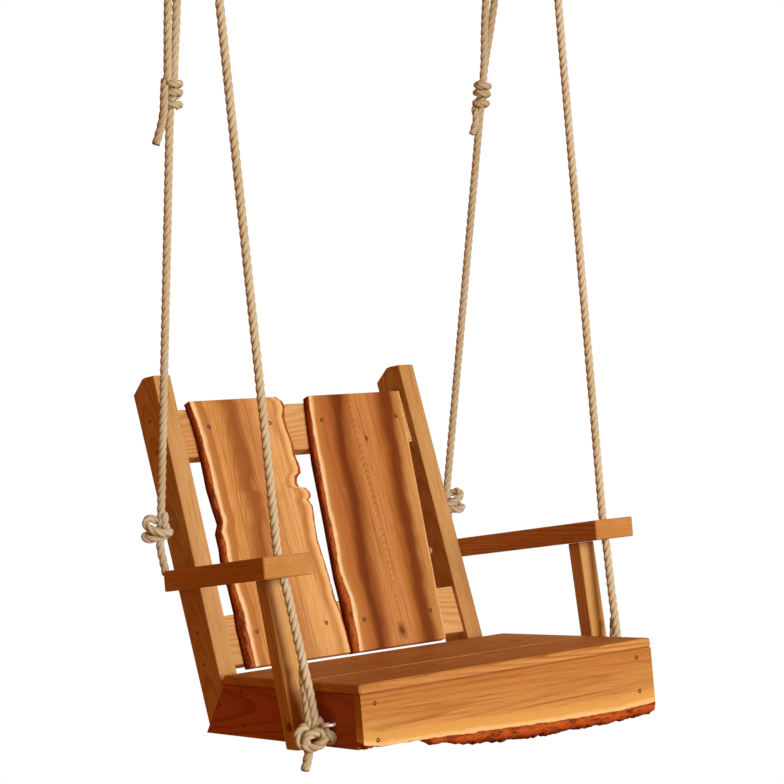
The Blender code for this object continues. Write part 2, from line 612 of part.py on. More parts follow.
def back_ropes(seat_matrix, hinge, hooks):
    """Each back rope is doubled from its eye down to a hitch, then single to the knot at the upright."""
    world = seat_matrix
    for name, side in SIDES.items():
        eye = hooks["back", name]
        low = world @ Vector((side * 0.3448, 0.5945, 0.2800))
        run = (low - eye).normalized()
        length = (low - eye).length
        hitch_top = eye + run * HITCH_TOP[name]
        hitch_end = hitch_top + run * HITCH_LENGTH
        fork = hitch_top - run * 0.0045
        loop = hairpin(eye, fork, 0.0078, math.radians(STRAND_TURN[name]))
        tube("back_rope_loop_" + name, under(hinge, loop), ROPE_R, hinge, ROPE_LOOK)
        profile = [(0.0120, 0.0004), (0.0165, 0.004), (0.0180, 0.009), (0.0165, 0.018), (0.0182, 0.027),
                   (0.0165, 0.036), (0.0180, 0.045), (0.0165, 0.050), (0.0120, 0.0536)]
        start = under(hinge, [hitch_top])[0]
        hitch = turned("back_rope_hitch_" + name, profile, start, run, hinge, ROPE_LOOK, sides=14)
        tail = [hitch_end + Vector(step) for step in HITCH_TAILS[name]]
        tail = under(hinge, smooth_route(tail, 0.014))
        join(hitch, mesh_tube("hitch_tail_" + name, tail, ROPE_R * 0.9, hinge, ROPE_LOOK))
        single_end = eye + run * (length - 0.004)
        route = [hitch_end + run * 0.0004, hitch_end.lerp(single_end, 0.35), hitch_end.lerp(single_end, 0.7),
                 single_end]
        tube("back_rope_" + name, under(hinge, smooth_route(route, 0.038)), ROPE_R, hinge, ROPE_LOOK)
        centre = under(hinge, [world @ Vector((side * 0.3565, 0.5900, 0.2600))])[0]
        knot = blob("back_rope_knot_" + name, centre, (0.0180, 0.0200, 0.0190), hinge, ROPE_LOOK)
        tail = [(0.3535, 0.5950, 0.2560), (0.3480, 0.6010, 0.2380), (0.3455, 0.5990, 0.2180),
                (0.3445, 0.5940, 0.1930)]
        tail = [world @ Vector((side * x, y, z)) for x, y, z in tail]
        tail = under(hinge, smooth_route(tail, 0.014))
        join(knot, mesh_tube("back_tail_" + name, tail, ROPE_R * 0.9, hinge, ROPE_LOOK))


def main():
    clear_scene()
    world = seat_to_world()
    hooks = {}
    for name, side in SIDES.items():
        hooks["front", name] = hook_point(FRONT_ROPE_SEAT, FRONT_ROPE_RISE, side)
        hooks["back", name] = hook_point(BACK_ROPE_SEAT, BACK_ROPE_RISE, side)
    pivot = Vector((0, FRONT_ROPE_SEAT.y, FRONT_ROPE_SEAT.z))
    seat_pivot = empty("seat_pivot", world @ Matrix.Translation(pivot))
    seat = empty("seat_frame", Matrix.Identity(4))
    seat.parent = seat_pivot
    seat.location = -pivot
    front_hinge = empty("front_rope_hinge", Matrix.Translation((0, hooks["front", "left"].y, -EYE_DROP)))
    back_hinge = empty("back_rope_hinge", Matrix.Translation((0, hooks["back", "left"].y, -EYE_DROP)))

    side_boards = seat_boards(seat)
    uprights, rails = back_frame(seat)
    back_slats(seat, rails)
    arms(seat, uprights)
    posts(seat, side_boards)
    eye_bolts(seat, uprights, side_boards)
    ceiling_eyes(hooks)
    front_ropes(seat, front_hinge, world, hooks)
    back_ropes(world, back_hinge, hooks)


main()
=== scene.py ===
"""Looks of the rope-hung porch swing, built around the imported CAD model, in metres, +Z up.

The front of the swing faces -Y. Points called seat points are in the seat's own frame, which hangs
tilted back: X to the right, Y to the rear, Z square to the seat, from the middle of its front edge.
Points on the back are given as x, `up` the reclined upright from its foot, and `deep`, forward from
the upright's rear edge.
"""
import math

import bpy
from mathutils import Matrix, Vector, noise


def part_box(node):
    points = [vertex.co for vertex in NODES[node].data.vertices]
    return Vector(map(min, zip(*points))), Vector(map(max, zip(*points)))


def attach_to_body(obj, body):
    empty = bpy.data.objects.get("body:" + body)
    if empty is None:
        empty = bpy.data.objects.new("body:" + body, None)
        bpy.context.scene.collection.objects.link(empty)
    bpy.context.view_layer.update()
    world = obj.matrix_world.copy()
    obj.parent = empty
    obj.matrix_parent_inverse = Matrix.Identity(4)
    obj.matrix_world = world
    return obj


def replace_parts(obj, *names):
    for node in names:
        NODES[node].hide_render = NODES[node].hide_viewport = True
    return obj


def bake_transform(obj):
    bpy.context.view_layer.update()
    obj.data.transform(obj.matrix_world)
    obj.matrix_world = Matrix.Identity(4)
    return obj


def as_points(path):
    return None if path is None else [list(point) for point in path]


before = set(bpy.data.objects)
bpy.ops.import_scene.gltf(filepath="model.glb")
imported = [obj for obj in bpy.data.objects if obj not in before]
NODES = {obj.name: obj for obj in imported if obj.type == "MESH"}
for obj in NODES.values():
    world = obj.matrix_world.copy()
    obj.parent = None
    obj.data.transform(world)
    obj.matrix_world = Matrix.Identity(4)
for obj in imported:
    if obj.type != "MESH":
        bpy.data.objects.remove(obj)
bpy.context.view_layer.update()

SEAT_TILT = math.radians(6.33)
SEAT_ORIGIN = Vector((0.0, -0.39675, -1.390))
RECLINE = math.radians(16.9)
UPRIGHT_FOOT_Y = 0.5197
SIDE_BOTTOM = -0.109
UPRIGHT_X = 0.3147
SIDE_X = 0.332
SIDES = {"left": -1, "right": 1}

ROPE_DIA = 0.015
ROPE_LAY = 0.050
LOOP_R = 0.0145
EYE_DROP = 0.055
FRONT_HOOK = Vector((0.39561, -0.07663, -EYE_DROP))
BACK_HOOK = Vector((0.37377, 0.07663, -EYE_DROP))

SLAT_FRONT = 0.0888
SLAT_THICK = 0.019
FRONT_FACE = 0.0005
FRONT_THICK = 0.020


# ---- places

TILT = Matrix.Rotation(-SEAT_TILT, 3, "X")


def seat(x, y, z):
    """World point of a seat point."""
    return TILT @ Vector((x, y, z)) + SEAT_ORIGIN


def on_back(x, up, deep):
    """World point of a point on the reclined back."""
    sine, cosine = math.sin(RECLINE), math.cos(RECLINE)
    y = UPRIGHT_FOOT_Y + up * sine - deep * cosine
    return seat(x, y, SIDE_BOTTOM + up * cosine + deep * sine)


ALONG_X = Vector((1, 0, 0))
SEAT_Y = TILT @ Vector((0, 1, 0))
SEAT_Z = TILT @ Vector((0, 0, 1))
BACK_UP = (on_back(0, 1, 0) - on_back(0, 0, 0)).normalized()
BACK_OUT = (on_back(0, 0, 1) - on_back(0, 0, 0)).normalized()


# ---- camera

def link(obj):
    bpy.context.scene.collection.objects.link(obj)


CAMERA_PLACE = (-2.1939, -3.0021, -0.7434)
CAMERA_TURN = (87.094, 0.922, -36.699)
CAMERA_LENS = 89.77


def make_camera():
    data = bpy.data.cameras.new("camera")
    data.lens = CAMERA_LENS
    camera = bpy.data.objects.new("camera", data)
    camera.location = CAMERA_PLACE
    camera.rotation_euler = [math.radians(a) for a in CAMERA_TURN]
    link(camera)
    bpy.context.scene.camera = camera


# ---- materials

def linear(code):
    """Linear colour of a hex code."""
    parts = [int(code[i:i + 2], 16) / 255 for i in (0, 2, 4)]
    return [p / 12.92 if p <= 0.04045 else ((p + 0.055) / 1.055) ** 2.4 for p in parts]


class Graph:
    """A material's nodes, written as expressions."""

    def __init__(self, name):
        self.material = bpy.data.materials.new(name)
        self.material.use_nodes = True
        self.tree = self.material.node_tree
        self.shader = self.tree.nodes["Principled BSDF"]

    def put(self, value, socket):
        if isinstance(value, bpy.types.NodeSocket):
            self.tree.links.new(value, socket)
        else:
            socket.default_value = value

    def feed(self, name, value):
        """Set one of the shader's inputs to a constant or to what a node gives."""
        self.put(value, self.shader.inputs[name])

    def math(self, operation, a, b=0.0):
        node = self.tree.nodes.new("ShaderNodeMath")
        node.operation = operation
        for value, socket in zip((a, b), node.inputs):
            self.put(value, socket)
        return node.outputs[0]

    def length(self, a, b):
        """Length of the flat vector (a, b)."""
        return self.math("SQRT", self.math("ADD", self.math("POWER", a, 2.0), self.math("POWER", b, 2.0)))

    def vector(self, operation, a, b):
        node = self.tree.nodes.new("ShaderNodeVectorMath")
        node.operation = operation
        self.put(a, node.inputs[0])
        self.put(b, node.inputs[1])
        return node.outputs["Value" if operation == "DOT_PRODUCT" else "Vector"]

    def combine(self, x, y, z):
        node = self.tree.nodes.new("ShaderNodeCombineXYZ")
        for value, socket in zip((x, y, z), node.inputs):
            self.put(value, socket)
        return node.outputs[0]

    def noise(self, vector, detail=2.0, roughness=0.5):
        node = self.tree.nodes.new("ShaderNodeTexNoise")
        self.put(vector, node.inputs["Vector"])
        node.inputs["Scale"].default_value = 1.0
        node.inputs["Detail"].default_value = detail
        node.inputs["Roughness"].default_value = roughness
        return node.outputs["Fac"]

    def noise_at(self, place, counts, detail=2.0, roughness=0.5):
        """Noise with so many features a metre along each axis."""
        return self.noise(self.vector("MULTIPLY", place, counts), detail, roughness)

    def wobble(self, noise, size):
        """A noise turned into a shift of up to half of size either way."""
        return self.math("MULTIPLY", self.math("SUBTRACT", noise, 0.5), size)

    def range(self, value, low, high, to_low=0.0, to_high=1.0, smooth=False):
        node = self.tree.nodes.new("ShaderNodeMapRange")
        node.interpolation_type = "SMOOTHSTEP" if smooth else "LINEAR"
        for item, socket in zip((value, low, high, to_low, to_high), node.inputs):
            self.put(item, socket)
        return node.outputs[0]

    def ramp(self, value, stops):
        """Colour ramp of (place, hex code)."""
        node = self.tree.nodes.new("ShaderNodeValToRGB")
        self.put(value, node.inputs[0])
        ramp = node.color_ramp
        while len(ramp.elements) < len(stops):
            ramp.elements.new(0.5)
        for element, (place, code) in zip(ramp.elements, stops):
            element.position = place
            element.color = (*linear(code), 1.0)
        return node.outputs[0]

    def mix(self, share, a, b):
        """From a to b by share; either may be a hex code."""
        node = self.tree.nodes.new("ShaderNodeMix")
        node.data_type = "RGBA"
        self.put(share, node.inputs[0])
        for value, socket in ((a, node.inputs[6]), (b, node.inputs[7])):
            if isinstance(value, str):
                value = (*linear(value), 1.0)
            self.put(value, socket)
        return node.outputs[2]

    def attribute(self, name):
        node = self.tree.nodes.new("ShaderNodeAttribute")
        node.attribute_name = name
        return node.outputs["Fac"]

    def bump(self, height, distance, strength):
        node = self.tree.nodes.new("ShaderNodeBump")
        self.put(height, node.inputs["Height"])
        node.inputs["Distance"].default_value = distance
        node.inputs["Strength"].default_value = strength
        self.tree.links.new(node.outputs[0], self.shader.inputs["Normal"])

    def object_place(self):
        return self.tree.nodes.new("ShaderNodeTexCoord").outputs["Object"]


def board_place(g, centre, along, across):
    """Place in a board: across, through and along its grain, in metres."""
    away = g.vector("SUBTRACT", g.object_place(), centre)
    through = along.cross(across)
    parts = [g.vector("DOT_PRODUCT", away, tuple(axis)) for axis in (across, through, along)]
    return g.combine(*parts), parts


# Noise features a metre across, through and along a board's grain.
WANDERING = (5.0, 5.0, 1.3)
SHIVERING = (60.0, 60.0, 7.0)
FIBRES = (950.0, 950.0, 22.0)
STREAKS = (260.0, 260.0, 4.0)
BROAD = (11.0, 11.0, 2.0)
WAVY = (14.0, 14.0, 5.0)
JAGGED = (110.0, 110.0, 28.0)
KNOT_RIPPLE = (300.0, 300.0, 120.0)
KNOT_BROWN = "5a1d06"
# Painted shade: the dark brown of the bark's crevices.
PAINTED_CREVICE_SHADE = "3a1104"


def knot_reach(g, parts, knot, squeeze):
    """Distance from a knot at (across, along), with the board's length squeezed."""
    away_u = g.math("SUBTRACT", parts[0], knot[0])
    away_w = g.math("MULTIPLY", g.math("SUBTRACT", parts[2], knot[1]), squeeze)
    return g.length(away_u, away_w)


def grain(g, place, parts, ring, pith, wander, lean, knots=()):
    """Growth rings and fibres: (tone 0 to 1 within a ring, its strength, fibre noise, streak noise).

    lean tilts the pith away from the board's length, so the rings meet its face in arches. knots are
    (place, size, pull): each pulls the rings aside.
    """
    u, v, w = parts
    shift = g.wobble(g.noise_at(place, WANDERING, 1.5), wander * 2)
    shiver = g.wobble(g.noise_at(place, SHIVERING), ring * 0.55)
    across = g.math("ADD", g.math("SUBTRACT", u, pith[0]), shift)
    through = g.math("ADD", g.math("SUBTRACT", v, pith[1]), g.math("MULTIPLY", w, lean))
    across = g.math("ADD", across, shiver)
    for knot, size, pull in knots:
        near = g.math("EXPONENT", g.math("MULTIPLY", knot_reach(g, parts, knot, 0.45), -1.0 / size))
        across = g.math("ADD", across, g.math("MULTIPLY", near, pull))
    count = g.math("DIVIDE", g.length(across, through), ring)
    phase = g.math("FRACT", count)
    late = g.math("SUBTRACT", g.range(phase, 0.35, 0.88, smooth=True), g.range(phase, 0.90, 1.0, smooth=True))
    which = g.combine(g.math("MULTIPLY", g.math("FLOOR", count), 7.31), 0.0, 0.0)
    strength = g.range(g.noise(which, 0.0), 0.3, 0.7, 0.35, 1.0)
    return late, strength, g.noise_at(place, FIBRES, 3.0, 0.65), g.noise_at(place, STREAKS, 3.0, 0.6)


def draw_grain(g, colour, grained, tones, late_share, streaks, fibres):
    """Late wood, streaks and fibres over a ground colour; tones are (late wood, streak) hex codes."""
    late, strength, fibre, streak = grained
    dark, deep = tones
    colour = g.mix(g.math("MULTIPLY", g.math("MULTIPLY", late, strength), late_share), colour, dark)
    colour = g.mix(g.range(streak, *streaks), colour, deep)
    return g.mix(g.range(fibre, *fibres), colour, deep)


def finish_wood(g, colour, grained, gloss, bark=None, relief=None):
    """Oiled wood's sheen and relief; bark says where it is rough bark instead."""
    late, _, fibre, _ = grained
    g.feed("Base Color", colour)
    satin = g.range(fibre, 0.3, 0.7, gloss - 0.05, gloss + 0.10)
    height = g.math("ADD", g.math("MULTIPLY", late, 0.35), g.math("MULTIPLY", fibre, 0.65))
    if bark is not None:
        satin = g.math("ADD", satin, g.math("MULTIPLY", bark, 0.45))
        height = g.math("ADD", height, relief)
    g.feed("Roughness", satin)
    g.feed("Specular IOR Level", 0.07)
    g.bump(height, 0.00025, 0.6)


def wood(name, centre, along, across, tones, ring, pith):
    """Oiled softwood: tones are (light, mid, late wood, streak) hex codes."""
    g = Graph(name)
    place, parts = board_place(g, centre, along, across)
    grained = grain(g, place, parts, ring, pith, wander=0.010, lean=0.05)
    light, mid, *darker = tones
    colour = g.mix(g.range(g.noise_at(place, BROAD), 0.35, 0.65), light, mid)
    colour = draw_grain(g, colour, grained, darker, 0.70, (0.53, 0.76, 0.0, 0.55), (0.48, 0.72, 0.0, 0.40))
    finish_wood(g, colour, grained, 0.45)
    return g.material


def live_wood(name, centre, along, across, heart, edges, tones, ring, pith, wander, late_share, lean,
              knots=()):
    """A slab with bark left on.

    heart is a ramp across it. edges are (attribute, ramp, reach): how far from the flat face's edge a
    spot is, and the ramp that colours it from -reach, on the bark, to reach.
    """
    g = Graph(name)
    place, parts = board_place(g, centre, along, across)
    grained = grain(g, place, parts, ring, pith, wander, lean, knots)
    drift = g.wobble(g.noise_at(place, WAVY, 3.0, 0.6), 0.20)
    colour = g.ramp(g.math("ADD", g.attribute("share"), drift), heart)
    colour = draw_grain(g, colour, grained, tones, late_share, (0.50, 0.75, 0.0, 0.60),
                        (0.48, 0.70, 0.0, 0.45))
    for knot, size, _ in knots:
        ripple = g.math("MULTIPLY", g.noise_at(place, KNOT_RIPPLE), size * 0.7)
        reach = g.math("ADD", knot_reach(g, parts, knot, 0.55), ripple)
        colour = g.mix(g.range(reach, size * 0.45, size * 1.1, 0.85, 0.0, smooth=True), colour, KNOT_BROWN)
    barks = []
    jag = g.noise_at(place, JAGGED, 4.0, 0.65)
    for edge, stops, reach in edges:
        away = g.math("ADD", g.attribute(edge), g.wobble(jag, 0.011))
        inside = g.range(away, reach * 0.72, reach * 0.98, smooth=True)
        colour = g.mix(inside, g.ramp(g.range(away, -reach, reach), stops), colour)
        bark = g.range(away, -0.004, 0.0005, 1.0, 0.0, smooth=True)
        # Painted shade: dark flecks on the bark, where the jagged noise runs high, stand for the shade in its
        # crevices.
        painted_crevice_shade = g.math("MULTIPLY", bark, g.range(jag, 0.50, 0.62, 0.0, 0.75))
        colour = g.mix(painted_crevice_shade, colour, PAINTED_CREVICE_SHADE)
        barks.append(bark)
    bark = g.math("MAXIMUM", *barks) if len(barks) == 2 else barks[0]
    relief = g.math("MULTIPLY", g.math("MULTIPLY", jag, bark), 6.0)
    finish_wood(g, colour, grained, 0.42, bark, relief)
    return g.material


def metal(name, code, roughness, dirt, metallic):
    """Clouded metal: code and dirt are its two hex codes."""
    g = Graph(name)
    cloud = g.noise_at(g.object_place(), (220.0, 220.0, 220.0), 4.0, 0.6)
    colour = g.mix(g.range(cloud, 0.5, 0.8, 0.0, 0.5), code, dirt)
    g.feed("Base Color", colour)
    g.feed("Roughness", g.range(cloud, 0.3, 0.8, roughness - 0.06, roughness + 0.22))
    g.feed("Metallic", metallic)
    g.bump(cloud, 0.0001, 0.4)
    return g.material


def rope_material():
    """Tan three-strand manila: yarns run along each strand, and shade is painted darker into the grooves
    between the strands.
    """
    g = Graph("manila_rope")
    strand, along, cut = g.attribute("strand"), g.attribute("along"), g.attribute("cut_end")
    yarns = g.combine(g.math("MULTIPLY", strand, 6.5), g.math("MULTIPLY", along, 14.0), 0.0)
    drift = g.vector("MULTIPLY", g.object_place(), (40.0, 40.0, 8.0))
    yarn = g.noise(g.vector("ADD", yarns, drift), 3.0, 0.6)
    hairs = g.combine(g.math("MULTIPLY", strand, 30.0), g.math("MULTIPLY", along, 60.0), 0.0)
    fibre = g.noise(hairs, 4.0, 0.7)
    patch = g.noise_at(g.object_place(), (9.0, 9.0, 9.0))
    colour = g.mix(g.range(patch, 0.35, 0.65), "cfc09f", "c1b083")
    colour = g.mix(g.range(yarn, 0.42, 0.68, 0.0, 0.55), colour, "b29a6a")
    colour = g.mix(g.range(fibre, 0.45, 0.75, 0.0, 0.45), colour, "e2dac3")
    # Painted shade: the grooves between the strands are darkened towards 84672f.
    painted_groove_shade = g.math("ABSOLUTE", strand)
    colour = g.mix(g.range(painted_groove_shade, 0.74, 1.0, 0.0, 0.80, smooth=True), colour, "84672f")
    colour = g.mix(g.math("MULTIPLY", cut, 0.8), colour, "5b4224")
    g.feed("Base Color", colour)
    g.feed("Roughness", 0.85)
    g.feed("Specular IOR Level", 0.25)
    g.feed("Sheen Weight", 0.15)
    g.bump(g.math("ADD", g.math("MULTIPLY", yarn, 0.6), g.math("MULTIPLY", fibre, 0.4)), 0.0008, 0.8)
    return g.material


# ---- meshes

def new_object(name, verts, faces, material):
    mesh = bpy.data.meshes.new(name)
    mesh.from_pydata([tuple(v) for v in verts], [], faces)
    mesh.validate()
    mesh.materials.append(material)
    mesh.shade_smooth()
    obj = bpy.data.objects.new(name, mesh)
    link(obj)
    return obj


def add_attribute(obj, name, values):
    layer = obj.data.attributes.new(name, "FLOAT", "POINT")
    layer.data.foreach_set("value", values)


def attach(piece, slot, body, *nodes):
    """Hide the nodes that a piece stands for and give it its body; slot is not used."""
    if nodes:
        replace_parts(piece, *nodes)
    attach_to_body(piece, body)
    return piece


def circle(spot, one, two, radius, count):
    """Points evenly round a circle in the plane of the directions one and two."""
    angles = [2 * math.pi * m / count for m in range(count)]
    return [spot + radius * (one * math.cos(a) + two * math.sin(a)) for a in angles]


def skin(rows, count, flip=False, loop=False):
    """Faces between rows of count points each; loop joins the last row to the first."""
    faces = []
    for k in range(rows if loop else rows - 1):
        a, b = k * count, (k + 1) % rows * count
        for m in range(count):
            n = (m + 1) % count
            faces.append((a + m, b + m, b + n, a + n) if flip else (a + m, a + n, b + n, b + m))
    return faces


def capped(rows, count):
    """A skin whose first and last rows are closed."""
    return skin(rows, count) + [tuple(reversed(range(count))), tuple(range((rows - 1) * count, rows * count))]


def smooth_route(points, spacing):
    """Points at an even spacing along a smooth Catmull-Rom curve through the route's own points."""
    points = [Vector(p) for p in points]
    ends = [2 * points[0] - points[1]] + points + [2 * points[-1] - points[-2]]
    fine = []
    for a, b, c, d in zip(ends, ends[1:], ends[2:], ends[3:]):
        for k in range(16):
            t = k / 16
            fine.append(0.5 * (2 * b + (c - a) * t + (2 * a - 5 * b + 4 * c - d) * t * t
                               + (3 * b - a - 3 * c + d) * t ** 3))
    fine.append(points[-1])
    length = sum((q - p).length for p, q in zip(fine, fine[1:]))
    count = max(2, round(length / spacing))
    route, travelled, target = [fine[0]], 0.0, length / count
    for p, q in zip(fine, fine[1:]):
        step = (q - p).length
        while travelled + step >= target - 1e-9 and len(route) < count:
            route.append(p.lerp(q, (target - travelled) / step))
            target += length / count
        travelled += step
    route.append(fine[-1])
    return route


def route_length(route):
    return sum((b - a).length for a, b in zip(route, route[1:]))


def frames(route):
    """Two directions square to the route at each point, carried along without twist."""
    last = len(route) - 1
    ahead = [(route[min(k + 1, last)] - route[max(k - 1, 0)]).normalized() for k in range(last + 1)]
    first = ahead[0].orthogonal().normalized()
    result = []
    for k, direction in enumerate(ahead):
        if k:
            first = (ahead[k - 1].rotation_difference(direction).to_matrix() @ first)
            first = (first - direction * first.dot(direction)).normalized()
        result.append((first.copy(), direction.cross(first)))
    return result


STRAND_SIDES = 12
# A strand's radius and its distance from the rope's middle, as shares of the rope's radius.
STRAND_R = 0.50
STRAND_OUT = 0.50
# Radius at the grooves and at the strands' crowns, as shares of the rope's nominal radius.
GROOVE = 0.80
FULL = 1.07


def rope(name, route, material, dia=ROPE_DIA, spacing=0.0025, turn=0.0, cut_ends=(False, False)):
    """A three-strand rope with a right-hand lay along a route."""
    route = smooth_route(route, spacing)
    around = 3 * STRAND_SIDES
    verts, strand, along, cut = [], [], [], []
    travelled = 0.0
    last = len(route) - 1
    for k, (spot, (one, two)) in enumerate(zip(route, frames(route))):
        if k:
            travelled += (spot - route[k - 1]).length
        twist = turn + 2 * math.pi * travelled / ROPE_LAY
        end = min(k, last - k)
        ease = 1.0 if end > 1 else (0.90, 0.975)[end]
        for m in range(around):
            share = (m % STRAND_SIDES) / STRAND_SIDES * 2 - 1
            inside = share * math.pi / 3
            reach = STRAND_OUT * math.cos(inside)
            reach += math.sqrt(STRAND_R ** 2 - (STRAND_OUT * math.sin(inside)) ** 2)
            fuzz = 0.03 * noise.noise(Vector((m * 0.9, travelled * 160, turn)))
            radius = dia / 2 * (GROOVE + (FULL - GROOVE) * (2 * reach - 1) + fuzz) * ease
            angle = twist + 2 * math.pi * m / around
            verts.append(spot + radius * (one * math.cos(angle) + two * math.sin(angle)))
            strand.append(share)
            along.append(travelled)
            near = (cut_ends[0] and k < 2) or (cut_ends[1] and last - k < 2)
            cut.append(1.0 if near else 0.0)
    faces = skin(last + 1, around)
    for ring, spot, flip in ((0, route[0], True), (last, route[-1], False)):
        middle = len(verts)
        verts.append(spot)
        strand.append(0.0)
        along.append(0.0)
        cut.append(1.0 if cut_ends[0 if flip else 1] else 0.0)
        for m in range(around):
            n = (m + 1) % around
            a, b = ring * around + m, ring * around + n
            faces.append((middle, b, a) if flip else (middle, a, b))
    obj = new_object(name, verts, faces, material)
    for label, values in (("strand", strand), ("along", along), ("cut_end", cut)):
        add_attribute(obj, label, values)
    return obj, route


def bar(name, route, radius, material, sides=14, spacing=0.0012):
    """A smooth round metal bar along a route."""
    route = smooth_route(route, spacing)
    verts = []
    for spot, (one, two) in zip(route, frames(route)):
        verts += circle(spot, one, two, radius, sides)
    return new_object(name, verts, capped(len(route), sides), material)


def waney_edge(a, inward, wane, rim, thick):
    """A live edge from the slab's rear to its flat face: (place across, depth, distance past the face)."""
    row = [(a, rim + f * (thick - rim), -f * (thick - rim) - wane) for f in (1.0, 0.66, 0.33)]
    for f in (0.0, 0.12, 0.25, 0.4, 0.55, 0.7, 0.85, 1.0):
        row.append((a + inward * wane * f, rim * (1 - math.sqrt(1 - (1 - f) ** 2)), wane * (f - 1)))
    return row


def live_slab(name, steps, low, high, wanes, rims, place, thick, material, middle=34, rough=0.0016):
    """A slab whose two long edges follow live edges.

    At step t, low(t) and high(t) are its edges. wanes are the widths over which the face falls away
    at each edge, rims how far it has fallen there. place(t, a, depth) puts a point in the world.
    """
    barked = 0.002
    verts, low_away, high_away, shares = [], [], [], []
    columns = 0
    for i in range(steps + 1):
        t = i / steps
        a0, a1 = low(t), high(t)
        wane = [w(t) if callable(w) else w for w in wanes]
        rim = [r(t) if callable(r) else r for r in rims]
        flat0, flat1 = a0 + wane[0], a1 - wane[1]
        row = waney_edge(a0, 1, wane[0], rim[0], thick)
        row += [(flat0 + (flat1 - flat0) * j / middle, 0.0, None) for j in range(1, middle)]
        row += reversed(waney_edge(a1, -1, wane[1], rim[1], thick))
        columns = len(row)
        half = columns // 2
        for j, (a, depth, away) in enumerate(row):
            which = 0 if j < half else 1
            if away is not None and rim[which] > barked and 0 < j < columns - 1:
                spot = Vector((t * 60 * thick / SLAT_THICK, a * 90, depth * 140))
                shake = abs(noise.noise(spot)) + 0.5 * abs(noise.noise(spot * 2.7))
                strong = rough * min(1.0, rim[which] / 0.009)
                fade = min(1.0, -away / wane[which] * 1.1)
                a += (1 if which == 0 else -1) * shake * strong * 1.8 * fade
                depth = min(thick, depth + shake * strong * fade)
            verts.append(place(t, a, depth))
            low_away.append(away if which == 0 and away is not None else a - flat0)
            high_away.append(away if which == 1 and away is not None else flat1 - a)
            shares.append((a - a0) / (a1 - a0))
    obj = new_object(name, verts, capped(steps + 1, columns), material)
    obj.data.set_sharp_from_angle(angle=math.radians(38))
    for label, values in (("low_away", low_away), ("high_away", high_away), ("share", shares)):
        add_attribute(obj, label, values)
    return obj


def edge_curve(points):
    """The edge's x at a height, along a list of (x, up)."""
    rows = sorted((up, x) for x, up in points)

    def at(up):
        if up <= rows[0][0]:
            return rows[0][1]
        for (u0, x0), (u1, x1) in zip(rows, rows[1:]):
            if up <= u1:
                return x0 + (x1 - x0) * (up - u0) / (u1 - u0)
        return rows[-1][1]

    return at


# ---- ropes

def hairpin(eye, fork, spread_low, turn_low):
    """Both strands over a ceiling eye's bar: the list goes up one strand and down the other."""
    steps = 10
    up, down = [], []
    for k in range(steps + 1):
        t = k / steps
        centre = fork.lerp(eye, t)
        ease = t * t * (3 - 2 * t)
        open_up = max(0.0, (t - 0.5) / 0.5)
        half = spread_low + (LOOP_R - spread_low) * open_up * open_up * (3 - 2 * open_up)
        angle = turn_low + (math.pi / 2 - turn_low) * ease
        offset = Vector((math.cos(angle), math.sin(angle), 0)) * half
        up.append(centre + offset)
        down.append(centre - offset)
    arc = []
    for k in range(1, 8):
        angle = math.pi * k / 8
        arc.append(eye + Vector((0, LOOP_R * math.cos(angle), LOOP_R * math.sin(angle))))
    return up + arc + list(reversed(down))


def mirrored(point, side):
    return Vector((side * point[0], point[1], point[2]))


def seat_side(point, side):
    """World point of a seat point given for the right side."""
    return seat(side * point[0], point[1], point[2])


# The knots are laid out across, and straight away from, the side that they are seen from.
ACROSS = Vector((0.8017, -0.5977, 0))
BEHIND = Vector((0.5977, 0.8017, 0))


def knot_points(start, points, flip=False):
    """Route from (across, up, behind) in millimetres from a start; flip turns it over sideways."""
    sign = -1 if flip else 1
    return [start + (ACROSS * a * sign + Vector((0, 0, u)) + BEHIND * b) / 1000 for a, u, b in points]


def short_rope(name, route, look, body, *nodes, dia, spacing=0.0025, turn=0.0, cut_ends=(False, True)):
    """A knot, a hitch or a cut end, which rides one body."""
    piece, _ = rope(name, route, look, dia, spacing, turn, cut_ends)
    return attach(piece, "rope", body, *nodes)


FRONT_LOWER = [(0.3540, 0.1090, -0.0640), (0.3550, 0.1120, -0.0300), (0.3585, 0.1190, 0.0200),
               (0.3640, 0.1290, 0.0900), (0.3698, 0.1380, 0.1600), (0.3732, 0.1445, 0.1950),
               (0.3755, 0.1487, 0.2180)]
FRONT_REST = (0.3755, 0.1487, 0.2208)
FRONT_START = (0.3540, 0.1080, -0.0760)
LOWER_KNOT_CENTRE = (0.3535, 0.1110, -0.0860)
BACK_KNOT_CENTRE = (0.3525, 0.5920, 0.2750)
# The cut end that lies beside a front rope: (seat point, out, behind).
END_STRAND = [((0.3540, 0.1090, -0.0700), 0.010, 0.000), ((0.3550, 0.1120, -0.0300), 0.009, 0.002),
              ((0.3578, 0.1170, 0.0050), 0.006, 0.005), ((0.3600, 0.1230, 0.0300), 0.001, 0.009)]
BACK_LOW = (0.3448, 0.5945, 0.2800)
# Distances down a back rope from its ceiling eye.
HITCH_TOP = {"left": 0.299, "right": 0.266}
HITCH_LENGTH = 0.054
STRAND_TURN = {"left": math.radians(193), "right": math.radians(233)}


def hang(piece, path):
    """Works out a rope's length and points and keeps neither; the rope hangs taut from its ceiling eye to the
    knot at its start.
    """
    route_length(path)
    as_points(path)


